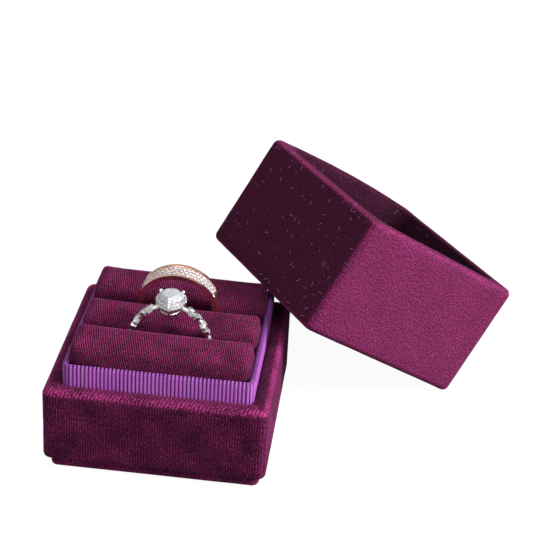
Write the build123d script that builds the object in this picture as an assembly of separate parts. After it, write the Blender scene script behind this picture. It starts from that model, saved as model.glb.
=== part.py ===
from build123d import *
import math
import os

# A square velvet ring box in two loose halves, with a ring in each of its two slots.
# The base stands on the floor. The lid leans upside down on the base's back right corner.
# Origin: middle of the base's underside. +X is right, +Y is back, +Z is up. Sizes are in mm.

# The closed box
box_width = 55.0
base_height = 22.5
lid_height = 32.5
velvet = 0.9
corner_radius = 2.3
rim_radius = 1.7
rim_inner_radius = 0.9
closed_edge_radius = 1.6
velvet_turn_in = 9.0

# Boards
base_wall = 2.3
lid_wall = 2.0
base_floor = 2.0
lid_top = 2.0

# Plinth under the base
plinth_height = 2.8
plinth_inset = 1.7
plinth_velvet = 0.6
plinth_turn_in = 7.0
plinth_edge_radius = 0.5
plinth_corner_radius = 1.8
foot_edge_radius = 1.2

# Collar of card with ribbon round it
collar_top = 27.7
collar_gap = 0.05
ribbon = 0.35
collar_card_thickness = 0.7
collar_corner_radius = 1.9
collar_edge_radius = 0.45
ribbon_fold = 4.0
card_seam = 0.2

# Ring rolls
pad_card_thickness = 0.8
insert_gap = 0.15
first_slot_y = -7.6
second_slot_y = 6.4
slot_gap = 0.3
front_roll_top = 32.1
middle_roll_top = 31.6
back_roll_top = 32.4
roll_crown_radius = 9.5
roll_edge_radius = 3.4
roll_end_radius = 2.0

# Lid lining
lid_foam = 1.5
lining_gap = 0.1
foam_edge_radius = 0.6

# Where the lid leans
lid_tilt = 33.75
lid_turn = -56.3
lid_shift_share = -0.173
lean_gap = 0.1
floor_gap = 0.05

# Rose-coloured band, in the back slot
band_radius = 10.1
band_thickness = 1.3
band_top_width = 5.0
band_low_width = 3.3
band_centre_x = 0.35
band_centre_z = 31.1
band_lean = -8.5
band_turn = -0.8
band_rim = 0.6
band_channel = 0.25
band_stone_radius = 0.52
band_stone_pitch = 1.16
band_row_pitch = 1.08
band_rows = 3
band_stones_angle = 70.0
band_stone_lift = 0.05

# White-metal solitaire, in the front slot
solitaire_radius = 10.3
solitaire_thickness = 1.5
solitaire_width = 2.5
solitaire_core_width = 1.5
solitaire_core_drop = 0.25
solitaire_centre_x = 0.35
solitaire_centre_z = 28.15
solitaire_lean = 4.6
solitaire_turn = 1.8
plate_count = 28
plate_length = 2.3
plate_width = 1.75
plate_drop = 0.05
plate_skew_angle = 24.0
plate_stone = 1.05
plate_stone_depth = 0.55
plate_stone_rise = 0.15
plate_stone_table = 0.65
head_gap_angle = 25.0
core_gap_angle = 13.75
stone_plates_angle = 125.0

# Head of the solitaire
stone_width = 6.5
stone_length = 7.9
stone_crown = 1.15
stone_pavilion = 1.9
stone_girdle = 0.2
stone_culet = 0.12
stone_table = 0.62
girdle_height = 11.7
halo_rim = 0.58
halo_point_rim = 0.8
halo_mouth = 0.89
halo_lip_depth = 1.5
halo_foot_depth = 2.1
halo_foot = 0.95
halo_bore = 0.45
rail_top_depth = 3.0
rail_foot_depth = 3.5
rail_outside = 0.73
rail_inside = 0.6
post_radius = 0.35
claw_radius = 0.45
claw_top = 1.0
claw_bevel = 0.2
claw_sides = 8
back_claw_angle = 29.0
point_claw_reach = 1.3
point_claw_depth = 1.1
point_claw_top = 0.7
point_claw_lean = 0.93
halo_stone_radius = 0.42
halo_stone_count = 24
halo_drop = 0.75

# Clearances between parts that are set into each other
ring_clearance = 0.3
stone_clearance = 0.02

# Cut of the small round stones, as shares of their radius
stone_sides = 6
small_stone_depth = 0.8
small_stone_crown = 0.32
small_stone_table = 0.6

# Sizes worked out from the ones above
wrap_low = plinth_height
base_inside = box_width - 2 * (2 * velvet + base_wall)
lid_inside = box_width - 2 * (2 * velvet + lid_wall)
base_board_inside = base_inside + 2 * velvet
lid_board_inside = lid_inside + 2 * velvet
floor_top = wrap_low + velvet + base_floor
pad_top = floor_top + pad_card_thickness
collar_width = base_inside - 2 * collar_gap
card_width = collar_width - 2 * ribbon
card_inside = card_width - 2 * collar_card_thickness
collar_inside = card_inside - 2 * ribbon
insert_width = collar_inside - 2 * insert_gap

# A flat bevel this share of a radius long lies as deep as the round edge that it stands for
bevel_share = 2 - math.sqrt(2)


def slab(width, low, high, corner=0.0):
    """A block on the centre line, square in plan, with rounded upright corners."""
    plan = RectangleRounded(width, width, corner) if corner > 0 else Rectangle(width, width)
    return Pos(0, 0, low) * extrude(plan, high - low)


def rounded_top(block, radius):
    return fillet(block.edges().group_by(Axis.Z)[-1], radius)


def rounded_foot(block, radius):
    return fillet(block.edges().group_by(Axis.Z)[0], radius)


def bevelled_top(block, radius):
    return chamfer(block.edges().group_by(Axis.Z)[-1], radius * bevel_share)


def bevelled_foot(block, radius):
    return chamfer(block.edges().group_by(Axis.Z)[0], radius * bevel_share)


def bevelled_corners(block, radius):
    return chamfer(block.edges().filter_by(Axis.Z), radius * bevel_share)


def inner_rim_edges(block, half_limit):
    """The edges of the topmost flat face that lie inside half_limit."""
    top = block.edges().group_by(Axis.Z)[-1]
    return [e for e in top if max(abs(e.center().X), abs(e.center().Y)) < half_limit]


def tube(outer, inner, low, high, outer_corner=0.0, inner_corner=0.0):
    return slab(outer, low, high, outer_corner) - slab(inner, low - 1, high + 1, inner_corner)


def save(name, shape):
    export_step(shape, f"parts/{name}.step")


# Boards and velvet that the base and the lid share


def board_envelope(low, high, low_edge):
    """The block that a half's boards fill, inside its velvet, with its edges taken off flat."""
    block = slab(box_width - 2 * velvet, low + velvet, high - velvet)
    block = bevelled_corners(block, corner_radius - velvet)
    block = bevelled_top(block, rim_radius - velvet)
    return bevelled_foot(block, low_edge - velvet)


def velvet_wrap(low, high, wall, low_edge, finish_foot):
    """Velvet round a half: over all its outer faces, over the rim and turned in behind it."""
    outer = slab(box_width, low, high, corner_radius)
    outer = rounded_top(outer, rim_radius)
    outer = finish_foot(outer, low_edge)
    inside = box_width - 2 * (2 * velvet + wall)
    inside_corner = corner_radius - velvet
    wrap = outer - board_envelope(low, high, low_edge)
    wrap -= slab(inside, low + velvet, high + 1, inside_corner)
    wrap += tube(inside + 2 * velvet, inside, high - velvet_turn_in, high - velvet, 0, inside_corner)
    rim_middle = (inside / 2 + box_width / 2 - rim_radius) / 2
    return chamfer(inner_rim_edges(wrap, rim_middle), rim_inner_radius * bevel_share)


def wall_boards(low, high, wall, low_edge):
    """Four boards: front and back run the whole width, left and right stand between them."""
    envelope = board_envelope(low, high, low_edge)
    inner = box_width - 2 * (velvet + wall)
    height = high - low
    middle = (low + high) / 2
    offset = (inner + wall) / 2
    boards = {}
    for side, sign in (("front", -1), ("back", 1)):
        boards[side] = envelope & (Pos(0, sign * offset, middle) * Box(box_width, wall, height))
    for side, sign in (("left", -1), ("right", 1)):
        boards[side] = envelope & (Pos(sign * offset, 0, middle) * Box(wall, inner, height))
    return boards


# Base


def bottom_pieces():
    width = box_width - 2 * plinth_inset
    board = slab(width - 2 * plinth_velvet, plinth_velvet, plinth_height - plinth_velvet,
                 plinth_corner_radius - plinth_velvet)
    cover = slab(width, 0, plinth_height, plinth_corner_radius)
    cover = bevelled_foot(cover, plinth_edge_radius)
    well = width - 2 * plinth_turn_in
    cover -= board
    cover -= slab(well, plinth_height - plinth_velvet, plinth_height)
    infill = slab(well, plinth_height - plinth_velvet, wrap_low + velvet)
    return board, cover, infill


def base_velvet():
    wrap = velvet_wrap(wrap_low, base_height, base_wall, foot_edge_radius, bevelled_foot)
    well = box_width - 2 * plinth_inset - 2 * plinth_turn_in
    return wrap - slab(well, wrap_low, wrap_low + velvet)


def collar_pieces():
    """The card tube, with its seam at the back, and the ribbon round it that folds over its top."""
    card_top = collar_top - ribbon
    card_corner = collar_corner_radius - ribbon
    inner_corner = card_corner - collar_card_thickness
    card = tube(card_width, card_inside, floor_top, card_top, card_corner, inner_corner)
    seam = Pos(0, card_width / 2, collar_top / 2) * Box(card_seam, 4 * collar_card_thickness, collar_top)
    cover = bevelled_top(slab(collar_width, floor_top, collar_top, collar_corner_radius), collar_edge_radius)
    cover -= slab(card_width, floor_top, card_top, card_corner)
    cover -= slab(collar_inside, floor_top, collar_top + 1, inner_corner - ribbon)
    cover += tube(card_inside, collar_inside, card_top - ribbon_fold, card_top, inner_corner,
                  inner_corner - ribbon)
    fold_middle = (collar_inside + collar_width) / 4
    cover = chamfer(inner_rim_edges(cover, fold_middle), collar_edge_radius * bevel_share)
    return card - seam, cover


def roll_block(front, back, top, skin):
    """A ring roll that lies skin inside the velvet: upright sides, round shoulders and a low crown."""
    half = (back - front) / 2 - skin
    middle = (front + back) / 2
    top = top - skin
    edge = roll_edge_radius - skin
    crown_radius = roll_crown_radius - skin
    half_length = insert_width / 2 - skin
    flat = half - edge
    crown_z = top - crown_radius
    lean = math.asin(flat / (crown_radius - edge))
    shoulder_z = crown_z + (crown_radius - edge) * math.cos(lean)
    turn = (math.pi / 2 + lean) / 2

    def on_shoulder(angle, sign):
        return (middle + sign * (flat + edge * math.sin(angle)), shoulder_z + edge * math.cos(angle))

    def shoulder(sign):
        ends = [on_shoulder(angle, sign) for angle in (math.pi / 2, turn, lean)]
        return ThreePointArc(*ends)

    profile = [
        Line((middle - half, pad_top), (middle - half, shoulder_z)),
        shoulder(-1),
        ThreePointArc(on_shoulder(lean, -1), (middle, top), on_shoulder(lean, 1)),
        shoulder(1),
        Line((middle + half, shoulder_z), (middle + half, pad_top)),
        Line((middle + half, pad_top), (middle - half, pad_top)),
    ]
    return extrude(Plane.YZ * make_face(profile), half_length, both=True)


def end_edges(block):
    """The edges round a roll's two ends, apart from the ones it stands on."""
    reach = max(abs(e.center().X) for e in block.edges())
    return [e for e in block.edges() if abs(e.center().X) > reach - 0.01 and e.center().Z > pad_top + 0.01]


def roll(front, back, top, skin):
    """A ring roll, or what lies skin inside it, with its ends taken off flat."""
    block = roll_block(front, back, top, skin)
    return chamfer(end_edges(block), (roll_end_radius - skin) * bevel_share)


# Rings


def ring_plane(x, slot_y, z, lean, turn):
    """A ring's own axes: X across, Y through the finger hole, Z up. Its centre lies over the slot."""
    lean = math.radians(lean)
    turn = math.radians(turn)
    up = Vector(-math.sin(turn) * math.sin(lean), math.cos(turn) * math.sin(lean), math.cos(lean))
    return Plane(origin=(x, slot_y, z), x_dir=(math.cos(turn), math.sin(turn), 0), z_dir=up)


def side_taper(radius, top_width, low_width, high):
    """A block as wide as the ring is, seen from its side: narrow at the bottom, wide from the top on."""
    outline = Polyline(
        (-low_width / 2, -radius), (low_width / 2, -radius), (top_width / 2, radius), (top_width / 2, high),
        (-top_width / 2, high), (-top_width / 2, radius), (-low_width / 2, -radius),
    )
    return extrude(Plane.YZ * make_face(outline), radius, both=True)


def drum(radius, width):
    """A disc on the ring's own axis."""
    return Rot(90, 0, 0) * Cylinder(radius, width)


def pocket(plane, radius, top_width, low_width, grow):
    """The room in the rolls that a ring stands in and leaves straight upwards."""
    outer = radius + grow
    wide = top_width + 2 * grow
    high = 3 * radius
    shape = drum(outer, 2 * wide) + Pos(0, 0, high / 2) * Box(2 * outer, 2 * wide, high)
    return plane.location * (shape & side_taper(outer, wide, low_width + 2 * grow, high))


def faceted(outline, levels):
    """A solid with flat facets between levels: at each one the outline is scaled and raised.

    The lowest level may have scale 0, where the facets meet in a point.
    """
    rings = [[(x * scale, y * scale, height) for x, y in outline] for scale, height in levels]
    facets = [Face(Wire.make_polygon(rings[-1]))]
    if levels[0][0] > 0:
        facets.append(Face(Wire.make_polygon(rings[0])))
    for low, high in zip(rings, rings[1:]):
        for i in range(len(outline)):
            corners = [low[i - 1], low[i], high[i], high[i - 1]]
            if low[i - 1] == low[i]:
                corners = [low[i], high[i], high[i - 1]]
            facets.append(Face(Wire.make_polygon(corners)))
    return Solid(Shell(facets))


def round_outline(radius, sides):
    angles = [2 * math.pi * (i + 0.5) / sides for i in range(sides)]
    return [(radius * math.cos(a), radius * math.sin(a)) for a in angles]


def small_stone(radius, sides=stone_sides, grow=0.0):
    """A small stone with its girdle at height 0. With grow, the seat that is cut for it."""
    crown = 2 * radius if grow else small_stone_crown * radius
    table = 1.0 if grow else small_stone_table
    levels = [(0.0, -small_stone_depth * radius - grow), (1.0, 0.0), (table, crown)]
    return faceted(round_outline(radius + grow, sides), levels)


def on_rim(radius, angle, across, spin=0.0):
    """A place on a ring's outer face, at an angle from its top towards +X, turned about the face's normal."""
    a = math.radians(angle)
    normal = Vector(math.sin(a), 0, math.cos(a))
    spot = Plane(origin=(radius * normal.X, across, radius * normal.Z), x_dir=(0, 1, 0), z_dir=normal)
    return spot.location * Rot(0, 0, spin)


def band_stone_rows():
    """For each of the three rows, its place across the band and its stones' angles from the band's top.

    The middle row lies half a stone out of step with its neighbours.
    """
    step = math.degrees(band_stone_pitch / band_radius)
    count = int(band_stones_angle / step)
    rows = []
    for row in range(band_rows):
        across = (row - (band_rows - 1) / 2) * band_row_pitch
        shift = step / 2 if row % 2 else 0.0
        last = count - (row % 2)
        rows.append((across, [k * step + shift for k in range(-count, last + 1)]))
    return rows


def row_channel(across, angles, width):
    """The groove of one row of stones. Its floor has a flat under each stone."""
    half_step = (angles[1] - angles[0]) / 2
    corner_radius = (band_radius - band_channel) / math.cos(math.radians(half_step))
    turns = [math.radians(a) for a in [angles[0] - half_step] + [a + half_step for a in angles]]
    floor = [(corner_radius * math.sin(a), corner_radius * math.cos(a)) for a in turns]
    far = 2 * band_radius
    outline = floor + [(far * math.sin(turns[-1]), far * math.cos(turns[-1])), (0, 2 * far),
                       (far * math.sin(turns[0]), far * math.cos(turns[0])), floor[0]]
    groove = extrude(Plane.XZ * make_face(Polyline(*outline)), width / 2, both=True)
    return Pos(0, across, 0) * groove


def band_ring(plane):
    inner = band_radius - band_thickness
    taper = side_taper(band_radius, band_top_width, band_low_width, band_radius + 1)
    shank = (drum(band_radius, 2 * band_top_width) - drum(inner, 3 * band_top_width)) & taper
    side_room = (band_top_width - 2 * band_rim - (band_rows - 2) * band_row_pitch) / 2
    channel_sides = side_taper(band_radius + 1, band_top_width - 2 * band_rim,
                               band_low_width - 2 * band_rim, band_radius + 2)
    places = []
    for across, angles in band_stone_rows():
        outward = (side_room - band_row_pitch) / 2
        middle = across + math.copysign(outward, across) if across else across
        width = side_room if across else band_row_pitch
        shank -= row_channel(middle, angles, width) & channel_sides
        girdle_radius = band_radius - band_channel + band_stone_lift
        places += [on_rim(girdle_radius, angle, across) for angle in angles]
    seat = small_stone(band_stone_radius, grow=stone_clearance)
    stone = small_stone(band_stone_radius)
    shank -= [place * seat for place in places]
    stones = Compound([place * stone for place in places])
    return plane.location * shank, plane.location * stones


def pear_outline(width, length, points_per_side):
    """Points of a pear shape with its round end at +Y and its point at -Y."""
    r = width / 2
    depth = length - r
    side_radius = (r * r + depth * depth) / (2 * r)
    sweep = math.asin(depth / side_radius)
    centre_y = length / 2 - r
    right = [(r * math.cos(a), centre_y + r * math.sin(a))
             for a in (math.pi / 2 * (1 - i / points_per_side) for i in range(points_per_side))]
    right += [(side_radius * math.cos(a) - (side_radius - r), centre_y - side_radius * math.sin(a))
              for a in (sweep * i / points_per_side for i in range(points_per_side))]
    tip = [(0.0, centre_y - depth)]
    left = [(-x, y) for x, y in reversed(right[1:])]
    return right + tip + left


def pear_stone(grow=0.0):
    """The large stone, with its girdle at height 0. With grow, the seat that is cut for it."""
    outline = pear_outline(stone_width + 2 * grow, stone_length + 2 * grow, 4)
    girdle = stone_girdle / 2 + grow
    foot = (stone_culet, -stone_pavilion - grow)
    levels = [foot, (1.0, -girdle), (1.0, girdle), (stone_table, stone_crown + grow)]
    return faceted(outline, levels)


def bar(low, top, radius, tip=1.0):
    """A bar with eight flats between two places. Over its last claw_bevel it narrows to the share tip."""
    length = (top - low).length
    levels = [(1.0, 0.0), (1.0, length - claw_bevel), (tip, length)]
    return Plane(origin=low, z_dir=top - low).location * faceted(round_outline(radius, claw_sides), levels)


def claw(x, y):
    """A claw that leans out from the rail, past the halo, and ends over the stone in a bevelled tip."""
    rail_middle = (rail_outside + rail_inside) / 2
    low = Vector(x * rail_middle, y * rail_middle, -rail_foot_depth)
    return bar(low, Vector(x, y, claw_top), claw_radius, 1 - claw_bevel / claw_radius)


def cup_outline(points_per_side):
    """The halo's rim, seen from above."""
    return pear_outline(stone_width + 2 * halo_rim, stone_length + 2 * halo_point_rim, points_per_side)


def point_claw():
    """The folded claw that holds the stone's point: a wedge of the stone's own outline, a bit larger."""
    outline = pear_outline(stone_width + 2 * claw_radius, stone_length + 2 * claw_radius, 4)
    block = faceted(outline, [(1.0, -point_claw_depth), (1.0, 0.0), (point_claw_lean, point_claw_top)])
    tip = -stone_length / 2 - claw_radius
    keep = Pos(0, tip + point_claw_reach / 2, 0) * Box(stone_width, point_claw_reach, 2 * point_claw_depth)
    return block & keep


def pear_ring(outline, levels, bore):
    """A ring between levels of a pear-shaped outline, with an upright bore."""
    low, high = levels[0][1], levels[-1][1]
    return faceted(outline, levels) - faceted(outline, [(bore, low - 1), (bore, high + 1)])


def basket():
    """The head's frame: a halo that slopes out from the stone, a rail below it, three claws and a post."""
    outline = cup_outline(4)
    halo_levels = [(halo_foot, -halo_foot_depth), (1.0, -halo_lip_depth), (halo_mouth, 0.0)]
    frame = pear_ring(outline, halo_levels, halo_bore)
    rail_levels = [(rail_outside, -rail_foot_depth), (rail_outside, -rail_top_depth)]
    frame += pear_ring(outline, rail_levels, rail_inside)
    angle = math.radians(back_claw_angle)
    round_radius = stone_width / 2
    back_y = stone_length / 2 - round_radius * (1 - math.sin(angle))
    for sign in (-1, 1):
        frame += claw(sign * round_radius * math.cos(angle), back_y)
    point = stone_length / 2 + halo_point_rim
    rail_middle = (rail_outside + rail_inside) / 2
    frame += bar(Vector(0, -point * rail_middle, -rail_foot_depth),
                 Vector(0, -point * halo_mouth + post_radius, -halo_lip_depth), post_radius)
    return frame + point_claw()


def halo_places():
    """Places round the halo's sloping wall, evenly spaced by length, for the small stones."""
    outline = cup_outline(16)
    closed = outline + [outline[0]]
    steps = [math.dist(a, b) for a, b in zip(closed, closed[1:])]
    spacing = sum(steps) / halo_stone_count
    slope = math.atan2((stone_width / 2 + halo_rim) * (1 - halo_mouth), halo_lip_depth)
    shrink = halo_mouth + (1 - halo_mouth) * halo_drop / halo_lip_depth
    places = []
    travelled = spacing / 2
    run = 0.0
    for (ax, ay), (bx, by), step in zip(closed, closed[1:], steps):
        while travelled < run + step:
            share = (travelled - run) / step
            x = (ax + (bx - ax) * share) * shrink
            y = (ay + (by - ay) * share) * shrink
            out = Vector(by - ay, ax - bx, 0).normalized()
            if out.X * x + out.Y * y < 0:
                out = out * -1
            normal = Vector(out.X * math.cos(slope), out.Y * math.cos(slope), math.sin(slope))
            places.append(Plane(origin=(x, y, -halo_drop), z_dir=normal).location)
            travelled += spacing
        run += step
    return places


def plate_angles():
    """Angles of the square plates round the shank, leaving out the head."""
    step = 360 / plate_count
    return [(i, (i + 0.5) * step) for i in range(plate_count)
            if head_gap_angle < (i + 0.5) * step < 360 - head_gap_angle]


def plate_stone_cut(grow=0.0):
    """A square stone for a plate, with its girdle at height 0. With grow, the seat that is cut for it."""
    half = plate_stone / 2 + grow
    square = [(half, half), (-half, half), (-half, -half), (half, -half)]
    above = (1.0, plate_stone) if grow else (plate_stone_table, plate_stone_rise)
    return faceted(square, [(0.0, -plate_stone_depth - grow), (1.0, 0.0), above])


def shank_plates(inner):
    """The plates in place, every other one turned the other way, and the places of their stones."""
    height = solitaire_thickness - 2 * plate_drop
    plates = []
    stones = []
    for i, angle in plate_angles():
        spin = plate_skew_angle if i % 2 else -plate_skew_angle
        middle = on_rim(inner + solitaire_thickness / 2, angle, 0, spin)
        plates.append(middle * Box(plate_width, plate_length, height))
        if min(angle, 360 - angle) < stone_plates_angle:
            stones.append(on_rim(solitaire_radius - 2 * plate_drop, angle, 0, spin))
    return plates, stones


def solitaire_ring(plane):
    inner = solitaire_radius - solitaire_thickness
    plates, plate_stone_places = shank_plates(inner)
    flat_radius = solitaire_radius - solitaire_core_drop
    core = RegularPolygon(flat_radius, plate_count, major_radius=False, rotation=90)
    shank = extrude(Plane.XZ * core, solitaire_core_width / 2, both=True)
    shank += plates
    shank -= drum(inner, 3 * solitaire_width)
    shank -= [place * plate_stone_cut(stone_clearance) for place in plate_stone_places]
    head = Pos(0, 0, girdle_height)
    gap = math.radians(core_gap_angle)
    far = 2 * solitaire_radius
    opening = make_face(Polyline((0, 0), (far * math.sin(gap), far * math.cos(gap)),
                                 (-far * math.sin(gap), far * math.cos(gap)), (0, 0)))
    shank -= extrude(Plane.XZ * opening, solitaire_width, both=True)
    halo_seat = small_stone(halo_stone_radius, grow=stone_clearance)
    cup = head * basket()
    shank -= cup
    cup -= head * pear_stone(stone_clearance)
    cup -= [head * place * halo_seat for place in halo_places()]
    stones = {
        "stone": head * pear_stone(),
        "halo": Compound([head * place * small_stone(halo_stone_radius) for place in halo_places()]),
        "plates": Compound([place * plate_stone_cut() for place in plate_stone_places]),
    }
    place = plane.location
    return place * shank, place * cup, {name: place * group for name, group in stones.items()}


# Lid


def lid_plane():
    """The lid's own axes: origin in the middle of its closed face, Z out of its mouth.

    The closed face lies on the collar's rounded back right corner and its lower edge on the floor.
    """
    tilt = math.radians(lid_tilt)
    turn = math.radians(lid_turn)
    along = Vector(math.cos(turn), math.sin(turn), 0)
    away = Vector(-math.sin(turn), math.cos(turn), 0)
    normal = away * math.sin(tilt) + Vector(0, 0, math.cos(tilt))
    up_face = away * -math.cos(tilt) + Vector(0, 0, math.sin(tilt))
    edge_z = floor_gap - closed_edge_radius * (math.cos(tilt) + math.sin(tilt) - 1)
    straight = collar_width / 2 - collar_corner_radius
    reach = (
        straight * (normal.X + normal.Y)
        + (collar_corner_radius - collar_edge_radius) * math.sin(tilt)
        + (collar_top - collar_edge_radius) * normal.Z
        + collar_edge_radius
    )
    edge_away = (reach + lean_gap - normal.Z * edge_z) / math.sin(tilt)
    edge = away * edge_away + along * box_width * lid_shift_share + Vector(0, 0, edge_z)
    return Plane(origin=edge + up_face * (box_width / 2), x_dir=along, z_dir=normal)


def lid_lining():
    board_top = velvet + lid_top
    pad_width = lid_inside - 2 * lining_gap
    pad = slab(pad_width - 2 * velvet, board_top, board_top + lid_foam, corner_radius - velvet)
    pad = bevelled_top(pad, foam_edge_radius)
    cover = slab(pad_width, board_top, board_top + lid_foam + velvet, corner_radius)
    cover = bevelled_top(cover, foam_edge_radius + velvet) - pad
    inner_corner = corner_radius - velvet
    walls = tube(lid_board_inside, lid_inside, board_top, lid_height - velvet_turn_in, 0, inner_corner)
    return pad, cover, walls


os.makedirs("parts", exist_ok=True)

bottom_board, bottom_velvet, infill_card = bottom_pieces()
save("bottom_board", bottom_board)
save("bottom_velvet", bottom_velvet)
save("infill_card", infill_card)
save("base_floor_board", slab(base_board_inside, wrap_low + velvet, floor_top))
for side, board in wall_boards(wrap_low, base_height, base_wall, foot_edge_radius).items():
    save(f"base_wall_{side}", board)
save("base_velvet_wrap", base_velvet())
collar_card, collar_ribbon = collar_pieces()
save("collar_card", collar_card)
save("collar_ribbon", collar_ribbon)
save("pad_card", slab(insert_width, floor_top, pad_top))

band_plane = ring_plane(band_centre_x, second_slot_y, band_centre_z, band_lean, band_turn)
solitaire_plane = ring_plane(solitaire_centre_x, first_slot_y, solitaire_centre_z, solitaire_lean,
                             solitaire_turn)


def ring_pockets(grow):
    band = pocket(band_plane, band_radius, band_top_width, band_low_width, grow)
    return band + pocket(solitaire_plane, solitaire_radius, solitaire_width, solitaire_width, grow)


clear_pockets = ring_pockets(ring_clearance)
lined_pockets = ring_pockets(ring_clearance + velvet)
insert_half = insert_width / 2
roll_spans = {
    "front": (-insert_half, first_slot_y - slot_gap / 2, front_roll_top),
    "middle": (first_slot_y + slot_gap / 2, second_slot_y - slot_gap / 2, middle_roll_top),
    "back": (second_slot_y + slot_gap / 2, insert_half, back_roll_top),
}
for name, span in roll_spans.items():
    core = roll(*span, velvet) - lined_pockets
    save(f"foam_core_{name}", core)
    save(f"roll_velvet_{name}", roll(*span, 0.0) - clear_pockets - core)

band_shank, band_stones = band_ring(band_plane)
save("band_ring_shank", band_shank)
save("band_ring_stones", band_stones)
shank, cup, stones = solitaire_ring(solitaire_plane)
save("solitaire_shank", shank)
save("solitaire_basket", cup)
save("solitaire_stone", stones["stone"])
save("solitaire_halo_stones", stones["halo"])
save("solitaire_shank_stones", stones["plates"])

lid_place = lid_plane().location
for side, board in wall_boards(0, lid_height, lid_wall, closed_edge_radius).items():
    save(f"lid_wall_{side}", lid_place * board)
save("lid_top_board", lid_place * slab(lid_board_inside, velvet, velvet + lid_top))
lid_velvet = velvet_wrap(0, lid_height, lid_wall, closed_edge_radius, rounded_foot)
save("lid_velvet_wrap", lid_place * lid_velvet)
lid_foam_pad, lid_lining_top, lid_lining_walls = lid_lining()
save("lid_foam_pad", lid_place * lid_foam_pad)
save("lid_lining_top", lid_place * lid_lining_top)
save("lid_lining_walls", lid_place * lid_lining_walls)
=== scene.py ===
# %% [markdown]
# # A velvet ring box, opened, with two rings
#
# A small square ring box is taken apart for its picture. The base holds two rings between soft rolls, and
# the lid leans upside down on its back corner. We dress a finished construction model: the boards, the card
# and the foam are already there at their real size, so everything below is cloth, ribbon, metal and stone.
#
# All sizes are in metres, and `mm` keeps them readable.

# %% Load the construction model
import math

import bmesh
import bpy
from mathutils import Matrix, Vector


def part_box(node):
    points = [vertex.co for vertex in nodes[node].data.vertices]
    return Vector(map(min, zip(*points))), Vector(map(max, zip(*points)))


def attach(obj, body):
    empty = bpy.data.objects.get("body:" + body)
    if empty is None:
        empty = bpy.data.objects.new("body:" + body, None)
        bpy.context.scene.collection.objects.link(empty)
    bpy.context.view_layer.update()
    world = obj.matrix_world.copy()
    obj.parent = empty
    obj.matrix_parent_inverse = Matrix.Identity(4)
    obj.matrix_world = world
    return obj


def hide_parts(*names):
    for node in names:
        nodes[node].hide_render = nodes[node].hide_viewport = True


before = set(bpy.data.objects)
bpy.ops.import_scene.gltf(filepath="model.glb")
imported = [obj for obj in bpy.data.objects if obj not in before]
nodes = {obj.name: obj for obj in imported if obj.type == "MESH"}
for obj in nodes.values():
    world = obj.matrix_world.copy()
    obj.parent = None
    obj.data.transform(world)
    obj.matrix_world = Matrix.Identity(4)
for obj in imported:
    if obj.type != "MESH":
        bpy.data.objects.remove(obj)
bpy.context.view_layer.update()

mm = 0.001

# %% [markdown]
# ## Small helpers
#
# Blender's mesh tools act on whatever is selected. The loader leaves its own objects selected, so each
# piece starts from an empty selection, and its faces and edges are then picked by where they lie and which
# way they face. That is what a modeller does by eye with the mouse.

# %% Picking things
sharp_fold = math.radians(50)
nearly_along = 0.9


def pick_none():
    if bpy.context.object and bpy.context.object.mode != "OBJECT":
        bpy.ops.object.mode_set(mode="OBJECT")
    bpy.ops.object.select_all(action="DESELECT")


def pick(piece):
    pick_none()
    piece.select_set(True)
    bpy.context.view_layer.objects.active = piece


def pick_all():
    bpy.ops.mesh.select_all(action="SELECT")


def drop_picks():
    bpy.ops.mesh.select_all(action="DESELECT")


def edit(piece, kind="FACE"):
    """Opens a piece for editing with nothing picked."""
    pick(piece)
    bpy.ops.object.mode_set(mode="EDIT")
    bpy.ops.mesh.select_mode(type=kind)
    drop_picks()


def pick_faces(piece, wanted):
    """Picks the faces for which wanted(middle, normal) is true."""
    mesh = bmesh.from_edit_mesh(piece.data)
    for face in mesh.faces:
        if wanted(face.calc_center_median(), face.normal):
            face.select_set(True)
    bmesh.update_edit_mesh(piece.data)


def pick_folds(piece, wanted):
    """Picks the sharp edges for which wanted(middle, direction) is true, and nothing else."""
    bpy.ops.mesh.select_mode(type="EDGE")
    drop_picks()
    mesh = bmesh.from_edit_mesh(piece.data)
    for edge in mesh.edges:
        a, b = (v.co for v in edge.verts)
        if edge.calc_face_angle(0.0) > sharp_fold and wanted((a + b) / 2, (b - a).normalized()):
            edge.select_set(True)
    bmesh.update_edit_mesh(piece.data)


# %% Making and finishing pieces
touching = 0.001 * mm


def done(piece, angle=None):
    """Back to object mode, shaded smooth over edges flatter than the angle in degrees."""
    bpy.ops.object.mode_set(mode="OBJECT")
    pick(piece)
    if angle is not None:
        bpy.ops.object.shade_smooth_by_angle(angle=math.radians(angle))
    return piece


def face_outwards():
    """Turns all faces of the opened piece outwards."""
    pick_all()
    bpy.ops.mesh.normals_make_consistent(inside=False)


def close_up(piece):
    """Joins points that lie on each other, and turns all faces outwards."""
    edit(piece, "VERT")
    pick_all()
    bpy.ops.mesh.remove_doubles(threshold=touching)
    face_outwards()
    return done(piece)


def add_modifier(piece, kind, **settings):
    """Adds a modifier, sets it up and applies it at once."""
    pick(piece)
    modifier = piece.modifiers.new(kind.title(), kind)
    for name, value in settings.items():
        setattr(modifier, name, value)
    bpy.ops.object.modifier_apply(modifier=modifier.name)


def named(piece, name):
    """Gives a piece and its mesh their name."""
    piece.name = name
    piece.data.name = name
    return piece


def add_block(name, low, high):
    """A box between two corners, with its size in its mesh."""
    pick_none()
    size = [b - a for a, b in zip(low, high)]
    middle = [(a + b) / 2 for a, b in zip(low, high)]
    bpy.ops.mesh.primitive_cube_add(size=1, location=middle, scale=size)
    bpy.ops.object.transform_apply(location=True, rotation=False, scale=True)
    return named(bpy.context.object, name)


def place(piece, matrix):
    """Moves a mesh to its place and leaves the object itself at the origin."""
    piece.data.transform(matrix)
    piece.data.update()
    return piece
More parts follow.
